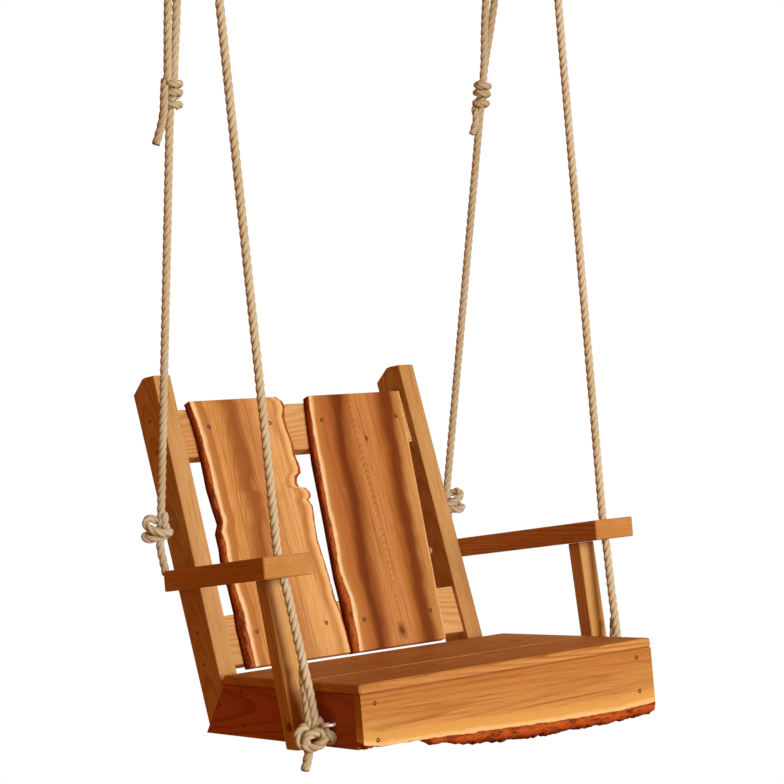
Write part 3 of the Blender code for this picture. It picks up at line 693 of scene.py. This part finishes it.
def front_rope(name, side, look):
    eye = mirrored(FRONT_HOOK, side)
    rest = seat_side(FRONT_REST, side)
    run = (rest - eye).normalized()
    lower = [seat_side(point, side) for point in FRONT_LOWER]
    start = seat_side(FRONT_START, side)
    straight = [rest.lerp(eye + run * 0.086, t) for t in (0.08, 0.25, 0.45, 0.65, 0.85, 1.0)]
    loop = hairpin(eye, eye + run * 0.050, 0.0082, math.radians(90))
    route = [start] + lower[:-1] + [rest] + straight + loop
    route += [eye + run * 0.062 - Vector((0, 0.004, 0)), eye + run * 0.074]
    piece, path = rope("front_rope_run_" + name, route, look, turn=0.4 if side < 0 else 1.7)
    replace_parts(piece, "front_rope_" + name, "front_rope_lower_" + name, "front_rope_loop_" + name)
    top = top_knot(name, eye, run, look)
    knot = lower_knot(name, side, look)
    second = second_strand(name, side, look)
    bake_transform(piece)
    hang(piece, path)


def top_knot(name, eye, run, look):
    """Two turns round both strands below the eye, with a short cut end."""
    one = run.orthogonal().normalized()
    two = run.cross(one)
    route = []
    for k in range(37):
        t = k / 36
        angle = 2 * math.pi * 2.25 * t
        radius = 0.0118 - 0.001 * t
        out = one * math.cos(angle) + two * math.sin(angle)
        route.append(eye + run * (0.054 + 0.026 * t) + radius * out)
    route.append(route[-1] + run * 0.006 + (route[-1] - route[-2]).normalized() * 0.006)
    return short_rope("front_rope_turns_" + name, route, look, "front_ropes", "front_rope_top_knot_" + name,
                      dia=0.0125, cut_ends=(True, True))


LOWER_KNOT = [(4, 28, 3), (9, 15, 6), (17, 8, -4), (25, 3, -13), (31, -4, -6), (26, -11, 5), (13, -8, 11),
              (0, 2, 9), (-10, 11, 3), (-20, 13, -5), (-28, 5, -10), (-27, -7, -13), (-18, -15, -15),
              (-4, -17, -17), (10, -11, -18), (17, -1, -14), (9, 7, -12), (-2, 6, -15), (-11, 3, -19),
              (-16, -6, -18), (-13, -17, -10), (-12, -28, -3), (-14, -42, 0), (-17, -54, 1), (-18, -61, 1)]


def lower_knot(name, side, look):
    route = knot_points(seat_side(LOWER_KNOT_CENTRE, side), LOWER_KNOT)
    return short_rope("front_rope_tied_" + name, route, look, "seat", "front_rope_knot_" + name,
                      dia=0.0155, spacing=0.002)


def second_strand(name, side, look):
    """The rope's end lies beside it for a hand's width above the knot."""
    route = [seat_side(point, side) - ACROSS * out + BEHIND * back for point, out, back in END_STRAND]
    return short_rope("front_rope_end_" + name, route, look, "seat", dia=0.0140, turn=2.0)


def back_rope(name, side, look):
    eye = mirrored(BACK_HOOK, side)
    low = seat_side(BACK_LOW, side)
    run = (low - eye).normalized()
    hitch_top = eye + run * HITCH_TOP[name]
    hitch_end = hitch_top + run * HITCH_LENGTH
    loop = hairpin(eye, hitch_top, 0.0078, STRAND_TURN[name])
    loop.reverse()
    straight = [low.lerp(hitch_end, t) for t in (0.0, 0.2, 0.4, 0.6, 0.8, 1.0)]
    route = straight + [hitch_end.lerp(loop[0], 0.5)] + loop
    piece, path = rope("back_rope_run_" + name, route, look, turn=0.9 if side < 0 else 2.6)
    if name == "right":
        tied = hitch_in_front(name, look, run, loop[-1], hitch_top, hitch_end)
    else:
        tied = hitch_beside(name, look, run, hitch_top, hitch_end)
    knot = back_knot(name, side, look)
    attach(piece, "rope", "back_ropes", "back_rope_" + name, "back_rope_loop_" + name)
    hang(piece, path)


# The back ropes' cut ends, as knot points from the lower end of each hitch.
RIGHT_TAIL = ((-12, 2, 2), (-10, -10, -7), (-10, -24, -10), (-14, -38, -8), (-18, -50, -4))
LEFT_TAIL = ((-7, 56, -9), (-7, 40, -17), (-8, 20, -20), (-9, 4, -18), (-12, -12, -12), (-16, -28, -8),
             (-21, -44, -6), (-27, -62, -4))
# Radius of a hitch's wraps round the standing rope.
WRAP_R = 0.0118


def wrap_points(run, start, depths):
    """Wraps round the standing rope that drop mostly behind it; depths are where each wrap begins."""
    front = run.cross(ACROSS).normalized()
    steps = 24
    points = []
    for index in range(len(depths) - 1):
        top, drop = depths[index], depths[index + 1] - depths[index]
        for k in range(steps):
            u = k / steps
            angle = math.pi - 2 * math.pi * u
            behind = max(0.0, u - 0.5) * 2
            depth = top + drop * (0.12 * min(u, 0.5) * 2 + 0.88 * behind * behind * (3 - 2 * behind))
            points.append(start + run * depth + WRAP_R * (ACROSS * math.cos(angle) + front * math.sin(angle)))
    return points


def hitch_in_front(name, look, run, strand_end, hitch_top, hitch_end):
    """Three wraps that cross in front of the standing rope, the end left hanging below them."""
    route = [strand_end - run * 0.004]
    route += wrap_points(run, hitch_top, (0.004, 0.019, 0.040, 0.052))
    route += knot_points(hitch_end, RIGHT_TAIL)
    return [short_rope("back_rope_wraps_" + name, route, look, "back_ropes", "back_rope_hitch_" + name,
                       dia=0.0138, spacing=0.002)]


def hitch_beside(name, look, run, hitch_top, hitch_end):
    """Three wraps behind the loose strand, which hangs down in front of them as the tail."""
    route = [hitch_top + ACROSS * 0.002 + BEHIND * 0.006]
    route += wrap_points(run, hitch_top + ACROSS * 0.0055, (0.003, 0.018, 0.041, 0.054))[4:-8]
    route += [route[-1] + run * 0.004 - ACROSS * 0.006]
    wraps = short_rope("back_rope_wraps_" + name, route, look, "back_ropes", "back_rope_hitch_" + name,
                       dia=0.0130, spacing=0.002, cut_ends=(False, False))
    hanging = knot_points(hitch_end, LEFT_TAIL)
    tail = short_rope("back_rope_tail_" + name, hanging, look, "back_ropes", dia=ROPE_DIA)
    return [wraps, tail]


BACK_KNOT = [(12, 30, 2), (12, 16, 4), (9, 5, 9), (-4, -6, 10), (-17, -11, 5), (-25, -15, -2), (-20, -19, -8),
             (-6, -18, -9), (8, -12, -5), (16, -3, 2), (9, 9, 8), (-8, 16, 7), (-18, 18, 0), (-22, 10, -8),
             (-12, 1, -14), (4, -6, -15), (18, -8, -9), (22, -8, 0), (14, -13, 5), (4, -22, 1), (4, -40, 1),
             (8, -62, 2), (13, -90, 4)]


def back_knot(name, side, look):
    route = knot_points(seat_side(BACK_KNOT_CENTRE, side), BACK_KNOT, flip=side > 0)
    return short_rope("back_rope_tied_" + name, route, look, "back_ropes", "back_rope_knot_" + name,
                      dia=0.0150, spacing=0.002)


# ---- live-edge boards

# Live edges of the back slats as (x, up), and the heights of each slat's foot and head.
LEFT_SLAT_OUTER = [(-0.2540, 0.090), (-0.2535, 0.139), (-0.2540, 0.169), (-0.2510, 0.199), (-0.2510, 0.248),
                   (-0.2535, 0.305), (-0.2505, 0.327), (-0.2503, 0.358), (-0.2410, 0.376), (-0.2437, 0.403),
                   (-0.2465, 0.448), (-0.2440, 0.508), (-0.2430, 0.546), (-0.2453, 0.587), (-0.2505, 0.625)]
LEFT_SLAT_INNER = [(-0.0400, 0.622), (-0.0280, 0.614), (-0.0265, 0.600), (-0.0335, 0.581), (-0.0335, 0.555),
                   (-0.0290, 0.525), (-0.0295, 0.499), (-0.0245, 0.473), (-0.0270, 0.462), (-0.0375, 0.456),
                   (-0.0430, 0.440), (-0.0400, 0.432), (-0.0260, 0.430), (-0.0195, 0.421), (-0.0200, 0.410),
                   (-0.0280, 0.406), (-0.0220, 0.391), (-0.0265, 0.358), (-0.0300, 0.320), (-0.0280, 0.270),
                   (-0.0260, 0.236), (-0.0250, 0.203), (-0.0200, 0.170), (-0.0195, 0.148), (-0.0205, 0.092)]
RIGHT_SLAT_INNER = [(-0.016, 0.090), (-0.012, 0.133), (-0.008, 0.193), (-0.008, 0.244), (-0.004, 0.295),
                    (0.001, 0.357), (0.005, 0.420), (0.009, 0.483), (0.018, 0.547), (0.029, 0.621)]
RIGHT_SLAT_OUTER = [(0.261, 0.623), (0.212, 0.091)]
SLAT_ENDS = {"left": (0.091, 0.6235), "right": (0.0905, 0.622)}
SLAT_SCREWS = {"left": [(-0.218, 0.569), (-0.077, 0.569), (-0.221, 0.156), (-0.062, 0.155)],
               "right": [(0.048, 0.569), (0.235, 0.567), (0.027, 0.151), (0.191, 0.151)]}
SLAT_CENTRE = {"left": (-0.148, 0.357, 0.0793), "right": (0.120, 0.357, 0.0793)}
# The front board's live lower edge: (x, z).
FRONT_EDGE = [(-0.332, -0.101), (-0.321, -0.110), (-0.300, -0.108), (-0.207, -0.110), (-0.186, -0.120),
              (-0.155, -0.125), (-0.111, -0.131), (-0.050, -0.138), (0.000, -0.142), (0.093, -0.144),
              (0.190, -0.143), (0.239, -0.146), (0.300, -0.143), (0.332, -0.141)]
# Where the front board's face ends above the live edge: (x, z).
FACE_EDGE = [(-0.332, -0.0995), (-0.300, -0.1065), (-0.207, -0.1080), (-0.150, -0.1100), (-0.050, -0.1140),
             (0.060, -0.1190), (0.150, -0.1205), (0.241, -0.1230), (0.290, -0.1200), (0.332, -0.1180)]
FRONT_BOARD_TOP = -0.0173
FRONT_BOARD_CENTRE = (0.0, 0.0105, -0.080)
# The front board's edge is torn from here to its right end.
TORN_FROM = -0.21

# From bark through inner bark to sapwood; the middle of each ramp is where the flat face begins.
FRONT_BARK = [(0.0, "5a1c08"), (0.12, "7c2c0d"), (0.22, "a8481a"), (0.34, "b9561f"), (0.44, "b05222"),
              (0.49, "7c3412"), (0.51, "dcae6c"), (0.56, "e2b878"), (0.66, "cf9850"), (1.0, "c88e45")]
BARK_EDGE = [(0.0, "3a0f04"), (0.14, "4e1805"), (0.24, "6e2207"), (0.30, "a34a1a"), (0.42, "bb6630"),
             (0.47, "84391a"), (0.495, "dba768"), (0.53, "f0cf9c"), (0.60, "e6bb84"), (0.68, "b87b40"),
             (1.0, "a5662c")]
SAWN_EDGE = [(0.0, "a4622c"), (0.40, "c08547"), (0.50, "e3b57c"), (0.75, "cf965a"), (1.0, "b87a3c")]
TORN_EDGE = [(0.0, "5c1f08"), (0.20, "8c3a10"), (0.36, "b85a20"), (0.47, "8e4216"), (0.50, "c88a48"),
             (0.56, "eabf82"), (0.72, "ddac6c"), (0.85, "c68c4c"), (1.0, "b87a3c")]
# Across each slab, from its low edge to its high edge.
LEFT_HEART = [(0.0, "ebb770"), (0.1, "dea45d"), (0.24, "d19652"), (0.35, "9f6631"),
              (0.42, "925928"), (0.5, "c4874e"), (0.6, "ca8f55"), (0.7, "dea764"), (0.82, "e7b270"),
              (0.91, "b8773a"), (1.0, "e6b26d")]
RIGHT_HEART = [(0.0, "cd8f4d"), (0.09, "bb793e"), (0.19, "b16c35"), (0.26, "733813"),
               (0.31, "692f0d"), (0.38, "a56531"), (0.46, "c88a4c"), (0.62, "c98c4f"),
               (0.71, "b37134"), (0.79, "6e350f"), (0.85, "743912"), (0.92, "c38b4b"),
               (1.0, "d1a05f")]
FRONT_HEART = [(0.0, "c89556"), (0.35, "c38e4c"), (0.6, "be8543"), (0.8, "b87c3d"), (1.0, "b27436")]


def taper(foot, head):
    """A width that changes from a slat's foot to its head, wandering a little on the way."""
    def at(t):
        wave = 0.30 * math.sin(9.0 * t + 1.0) + 0.20 * math.sin(23.0 * t + 4.0)
        return (foot + (head - foot) * t) * (1.0 + wave * 4 * t * (1 - t))
    return at


def slat(name, left_edge, right_edge, wanes, rims, material):
    """A slat on the back, with its screws."""
    left, right = edge_curve(left_edge), edge_curve(right_edge)
    foot, head = SLAT_ENDS[name]

    def height(t):
        return foot + (head - foot) * t

    def place(t, a, depth):
        return on_back(a, height(t), SLAT_FRONT - depth)

    piece = live_slab("live_slat_" + name, 176, lambda t: left(height(t)), lambda t: right(height(t)), wanes,
                      rims, place, SLAT_THICK, material)
    attach(piece, "live_edge_wood", "seat", "back_slat_" + name)
    for index, (x, up) in enumerate(SLAT_SCREWS[name], start=1):
        label = "back_slat_screw_%s_%d" % (name, index)
        spot = on_back(x, up, SLAT_FRONT)
        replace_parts(screw("seen_" + label, spot, BACK_OUT, SLAT_SCREW_R, turn=index * 0.7), label)


def front_board(material):
    low, face = edge_curve([(z, x) for x, z in FRONT_EDGE]), edge_curve([(z, x) for x, z in FACE_EDGE])
    half = FRONT_EDGE[-1][0]

    def torn(x):
        large, small = noise.noise(Vector((x * 32, 1.7, 0))), noise.noise(Vector((x * 95, 6.1, 0)))
        return low(x) + (0.0045 * large + 0.0030 * small) * min(1.0, max(0.0, (x - TORN_FROM) / 0.03))

    def across(t):
        return -half + 2 * half * t

    def place(t, a, depth):
        return seat(across(t), FRONT_FACE + depth, a)

    wanes = (lambda t: max(0.0012, face(across(t)) - torn(across(t))), 0.0015)
    piece = live_slab("live_front_board", 240, lambda t: torn(across(t)), lambda t: FRONT_BOARD_TOP, wanes,
                      (0.0150, 0.0015), place, FRONT_THICK, material, middle=24, rough=0.0034)
    attach(piece, "live_edge_wood", "seat", "front_board")


# ---- fastenings

SLAT_SCREW_R = 0.0042
FRAME_SCREW_R = 0.0036
FRONT_SCREW_R = 0.0040
# Screws on each upright (up, deep), on each side board (y, z) and on the front board (x, z).
UPRIGHT_SCREWS = ((0.605, 0.038), (0.541, 0.037), (0.181, 0.034), (0.119, 0.032))
SIDE_SCREWS = ((0.372, -0.027), (0.372, -0.088))
FRONT_SCREWS = ((-0.304, -0.034), (-0.303, -0.095), (0.294, -0.032), (0.295, -0.094))
# Rings of a screw's head as shares of its radius, then its underside as (share, depth).
HEAD_RINGS = (0.18, 0.32, 0.44, 0.54, 0.64, 0.78, 0.90, 0.97, 1.0)
UNDER_RINGS = ((0.95, 0.0006), (0.45, 0.0030), (0.42, 0.0090), (0.15, 0.0115))
CROSS_HALF = 0.15
CROSS_REACH = 0.6
CROSS_DEEP = 0.0014


def screw(name, spot, out, radius, turn, slot="fastener_steel", body="seat"):
    """A countersunk cross-head screw, seen from its head."""
    around = 40
    one = Matrix.Rotation(turn, 3, out) @ out.orthogonal().normalized()
    two = out.cross(one)
    verts = []
    for share in HEAD_RINGS:
        for m in range(around):
            angle = 2 * math.pi * m / around
            x, y = share * math.cos(angle), share * math.sin(angle)
            cut = max(0.0, 1 - (min(abs(x), abs(y)) / CROSS_HALF) ** 4) if share < CROSS_REACH else 0.0
            height = 0.00025 * (1 - share ** 2) - CROSS_DEEP * cut - (0.0002 if share == 1.0 else 0.0)
            verts.append(spot + radius * (one * x + two * y) + out * (height + 0.00015))
    for share, deep in UNDER_RINGS:
        verts += circle(spot - out * deep, one, two, radius * share, around)
    total = len(HEAD_RINGS) + len(UNDER_RINGS)
    faces = skin(total, around, flip=True)
    middle = len(verts)
    verts.append(spot - out * 0.0012)
    faces += [(middle, m, (m + 1) % around) for m in range(around)]
    faces.append(tuple(reversed([(total - 1) * around + m for m in range(around)])))
    piece = new_object(name, verts, faces, SCREW_STEEL)
    piece.data.set_sharp_from_angle(angle=math.radians(35))
    return attach(piece, slot, body)


def frame_screws():
    """Screws that show in the uprights, the side boards and the front board."""
    for name, side in SIDES.items():
        spots = [on_back(side * UPRIGHT_X, up, deep) for up, deep in UPRIGHT_SCREWS]
        spots += [seat(side * SIDE_X, y, z) for y, z in SIDE_SCREWS]
        for index, spot in enumerate(spots, start=1):
            screw("frame_screw_%s_%d" % (name, index), spot, Vector((side, 0, 0)), FRAME_SCREW_R, index * 0.9)
    for index, (x, z) in enumerate(FRONT_SCREWS):
        spot = seat(x, FRONT_FACE, z)
        screw("front_board_screw_%d" % (index + 1), spot, -SEAT_Y, FRONT_SCREW_R, index * 1.1)


# Eye bolts as (row, outer face, thickness of wood, ring's centre) on the right side.
EYE_BOLTS = (("back", UPRIGHT_X, 0.038, (0.3277, 0.614, 0.288)),
             ("front", SIDE_X, 0.017, (0.3450, 0.080, -0.068)))
EYE_BOLT_R = 0.00275
EYE_BOLT_RING = 0.0090


def eye_bolts():
    """Turned wire eyes, each with its stem through the wood."""
    for row, face, thick, (centre, y, z) in EYE_BOLTS:
        for name, side in SIDES.items():
            route = [(x, y) for x in (face - thick - 0.011, face - thick, face - 0.004, face + 0.002)]
            for k in range(1, 19):
                angle = math.pi + math.radians(17.5 * k)
                route.append((centre + EYE_BOLT_RING * math.cos(angle), y + EYE_BOLT_RING * math.sin(angle)))
            label = "%s_eye_bolt_%s" % (row, name)
            piece = bar("seen_" + label, [seat(side * x, back, z) for x, back in route], EYE_BOLT_R, ZINC_PAINTED_REFLECTION)
            attach(piece, "fastener_steel", "seat", label)


# Half of a ceiling flange's outline: (radius, height).
FLANGE = ((0.008, -0.0105), (0.012, -0.0085), (0.020, -0.0072), (0.0285, -0.0066), (0.0298, -0.0055),
          (0.0300, -0.0010), (0.0292, 0.0))
EYE_RING_R = 0.023
EYE_BAR_R = 0.005
FLANGE_SCREW = 0.021


def ceiling_eyes():
    """Forged eyes: a dished flange with two screws, and a ring that thickens into it."""
    for row, hook in (("front", FRONT_HOOK), ("back", BACK_HOOK)):
        for name, side in SIDES.items():
            eye = mirrored(hook, side)
            label = "ceiling_eye_%s_%s" % (row, name)
            flange = turned("seen_" + label, FLANGE, Vector((eye.x, eye.y, 0)), FORGED)
            attach(flange, "ceiling_steel", "root", label)
            ring = ring_mesh("ring_" + label, eye + Vector((0, 0, EYE_RING_R)), EYE_RING_R, EYE_BAR_R)
            attach(ring, "ceiling_steel", "root")
            for index, away in enumerate((-FLANGE_SCREW, FLANGE_SCREW)):
                screw("%s_screw_%d" % (label, index + 1), Vector((eye.x, eye.y + away, -0.0073)),
                      Vector((0, 0, -1)), FRAME_SCREW_R, 0.5 + index, slot="ceiling_steel", body="root")


def turned(name, profile, spot, material, around=48):
    """A solid turned from a half outline of (radius, height)."""
    verts = []
    for radius, height in profile:
        verts += circle(spot + Vector((0, 0, height)), ALONG_X, Vector((0, 1, 0)), radius, around)
    obj = new_object(name, verts, capped(len(profile), around), material)
    obj.data.set_sharp_from_angle(angle=math.radians(35))
    return obj


def ring_mesh(name, centre, radius, thick, around=56, sides=16):
    """A forged ring in the XZ plane, thicker at its top."""
    verts = []
    for k in range(around):
        angle = 2 * math.pi * k / around
        out = Vector((math.sin(angle), 0, -math.cos(angle)))
        swell = thick * (1.0 + 0.20 * max(0.0, -math.cos(angle)) ** 3)
        verts += circle(centre + out * radius, out, Vector((0, 1, 0)), swell, sides)
    return new_object(name, verts, skin(around, sides, flip=True, loop=True), FORGED)


# ---- plain boards and metal

# (light, mid, late wood, streak) of each kind of board.
FRAME_TONES = ("d2a76c", "c69657", "a5692f", "8a4c1c")
PALE_TONES = ("dcac70", "d09c5c", "b0742f", "965820")
SIDE_TONES = ("b8642c", "a95622", "8a3c12", "6e2b0a")
SEAT_TONES = ("cc9150", "bb7f42", "8f5020", "763a12")
ARM_TONES = ("cd9654", "be8444", "965622", "7e4314")


# Lines along an arm and a post on the right side, as seat points.
ARM_LINE = ((0.315, 0.118, 0.2216), (0.30, 0.60, 0.191))
POST_LINE = ((0.3305, 0.148, -0.113), (0.343, 0.186, 0.18))


def paint(node, material):
    mesh = NODES[node].data
    mesh.materials.clear()
    mesh.materials.append(material)


def line_direction(line, side):
    start, end = (seat_side(point, side) for point in line)
    return (end - start).normalized()


def boards():
    """Paint each plain board: (node, along, across, tones, pith, ring width)."""
    plan = [("seat_slat_front", ALONG_X, SEAT_Y, SEAT_TONES, (0.03, -0.07), 0.0050),
            ("seat_slat_rear", ALONG_X, SEAT_Y, SEAT_TONES, (-0.04, -0.05), 0.0055),
            ("top_back_rail", ALONG_X, BACK_UP, PALE_TONES, (0.06, -0.10), 0.0050),
            ("bottom_back_rail", ALONG_X, BACK_UP, PALE_TONES, (-0.05, -0.09), 0.0048),
            ("rear_seat_rail", ALONG_X, SEAT_Z, FRAME_TONES, (0.05, -0.08), 0.0045),
            ("middle_bearer", ALONG_X, SEAT_Z, FRAME_TONES, (-0.05, -0.08), 0.0045)]
    for name, side in SIDES.items():
        arm, post = line_direction(ARM_LINE, side), line_direction(POST_LINE, side)
        plan.append(("upright_" + name, BACK_UP, BACK_OUT, FRAME_TONES, (0.012 * side, -0.16), 0.0034))
        plan.append(("side_board_" + name, SEAT_Y, SEAT_Z, SIDE_TONES, (0.010, 0.075), 0.0062))
        plan.append(("arm_" + name, arm, ALONG_X, ARM_TONES, (0.035 * side, -0.055), 0.0040))
        plan.append(("arm_post_" + name, post, ALONG_X, FRAME_TONES, (0.030, -0.030), 0.0045))
    for node, along, across, tones, pith, ring in plan:
        low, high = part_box(node)
        across = (across - along * across.dot(along)).normalized()
        paint(node, wood(node + "_wood", tuple((low + high) / 2), along, across, tones, ring, pith))


def metal_nodes():
    for node in NODES:
        if node.startswith(("arm_bolt", "post_lag", "back_eye_nut", "front_eye_nut")):
            paint(node, ZINC_PAINTED_REFLECTION)


# ---- surroundings

FLOOR_Z = -1.95
FLOOR_HALF = 14.0
BACKDROP_R = 13.0
WORLD_COLOUR = (0.35, 0.135, 0.040, 1.0)


def white_glow(name):
    """Plain white, whatever the light."""
    g = Graph(name)
    g.feed("Base Color", (0.0, 0.0, 0.0, 1.0))
    g.feed("Emission Color", (1.0, 1.0, 1.0, 1.0))
    g.feed("Emission Strength", 1.0)
    g.feed("Specular IOR Level", 0.0)
    return g.material


def stage():
    """Floor, backdrop and lights."""
    corners = [(x * FLOOR_HALF, y * FLOOR_HALF, FLOOR_Z) for x, y in ((-1, -1), (1, -1), (1, 1), (-1, 1))]
    floor = new_object("floor", corners, [(0, 1, 2, 3)], white_glow("pale_floor"))
    shell = backdrop()
    for obj in (floor, shell):
        camera_only(obj)
    world = bpy.data.worlds.new("world")
    world.use_nodes = True
    background = world.node_tree.nodes["Background"]
    background.inputs["Color"].default_value = WORLD_COLOUR
    background.inputs["Strength"].default_value = 1.0
    bpy.context.scene.world = world
    bpy.context.scene.view_settings.view_transform = "Standard"
    area("key", (0.4, -5.0, -0.1), (0.0, -0.3, -1.0), 2.2, 262.0, (0.97, 1.01, 1.04))
    rear = area("rear", (2.4, 3.8, 0.2), (0.0, 0.2, -1.0), 2.6, 120.0, (1.0, 0.97, 0.94))
    rear.visible_glossy = False


def backdrop():
    """A white shell that only the camera sees."""
    around, rows = 48, 24
    verts = []
    for i in range(rows + 1):
        tilt = math.pi * i / rows
        height = Vector((0, 0, BACKDROP_R * math.cos(tilt)))
        verts += circle(height, ALONG_X, Vector((0, 1, 0)), BACKDROP_R * math.sin(tilt), around)
    return new_object("backdrop", verts, skin(rows + 1, around), white_glow("white_backdrop"))


def camera_only(obj):
    obj.visible_diffuse = False
    obj.visible_glossy = False
    obj.visible_transmission = False
    obj.visible_shadow = False


def area(name, place, target, size, power, colour):
    """A round light at a place, facing a target."""
    data = bpy.data.lights.new(name, "AREA")
    data.shape = "DISK"
    data.size = size
    data.energy = power
    data.color = colour
    light = bpy.data.objects.new(name, data)
    light.location = place
    light.rotation_mode = "QUATERNION"
    light.rotation_quaternion = (Vector(place) - Vector(target)).to_track_quat("Z", "Y")
    link(light)
    return light


# ---- the swing

make_camera()
MANILA = rope_material()
for side_name, side_sign in SIDES.items():
    front_rope(side_name, side_sign, MANILA)
    back_rope(side_name, side_sign, MANILA)

SCREW_STEEL = metal("screw_steel", "4a3020", 0.45, "1d110a", 0.6)
# Zinc's own pale grey is raised to near white and kept only partly metallic: a painted reflection of white
# surroundings.
ZINC_PAINTED_REFLECTION = metal("zinc_painted_reflection", "f2f2ee", 0.35, "8a8478", 0.35)
FORGED = metal("galvanised_steel", "c4c5c4", 0.42, "5b564e", 0.7)
boards()
metal_nodes()
eye_bolts()
ceiling_eyes()
frame_screws()

left_wood = live_wood("left_slat_wood", tuple(on_back(*SLAT_CENTRE["left"])), BACK_UP, ALONG_X,
                      LEFT_HEART, (("low_away", BARK_EDGE, 0.030), ("high_away", TORN_EDGE, 0.020)),
                      ("a05a24", "834312"), ring=0.0030, pith=(-0.02, -0.065), wander=0.014,
                      late_share=0.50, lean=0.06)
right_wood = live_wood("right_slat_wood", tuple(on_back(*SLAT_CENTRE["right"])), BACK_UP, ALONG_X,
                       RIGHT_HEART, (("low_away", BARK_EDGE, 0.030), ("high_away", SAWN_EDGE, 0.005)),
                       ("8c4a1a", "74380f"), ring=0.0018, pith=(0.005, -0.045), wander=0.016,
                       late_share=0.50, lean=0.13,
                       knots=(((-0.010, -0.238), 0.018, 0.024), ((0.026, 0.166), 0.007, 0.012)))
front_wood = live_wood("front_board_wood", tuple(seat(*FRONT_BOARD_CENTRE)), ALONG_X, SEAT_Z, FRONT_HEART,
                       (("low_away", FRONT_BARK, 0.030),), ("9c5c20", "7f4414"),
                       ring=0.0040, pith=(0.020, -0.055), wander=0.012, late_share=0.55, lean=0.012)
slat("left", LEFT_SLAT_OUTER, LEFT_SLAT_INNER, (taper(0.013, 0.003), taper(0.004, 0.012)),
     (taper(0.013, 0.002), taper(0.003, 0.012)), left_wood)
slat("right", RIGHT_SLAT_INNER, RIGHT_SLAT_OUTER, (taper(0.015, 0.002), 0.0015),
     (taper(0.013, 0.002), 0.0015), right_wood)
front_board(front_wood)
stage()
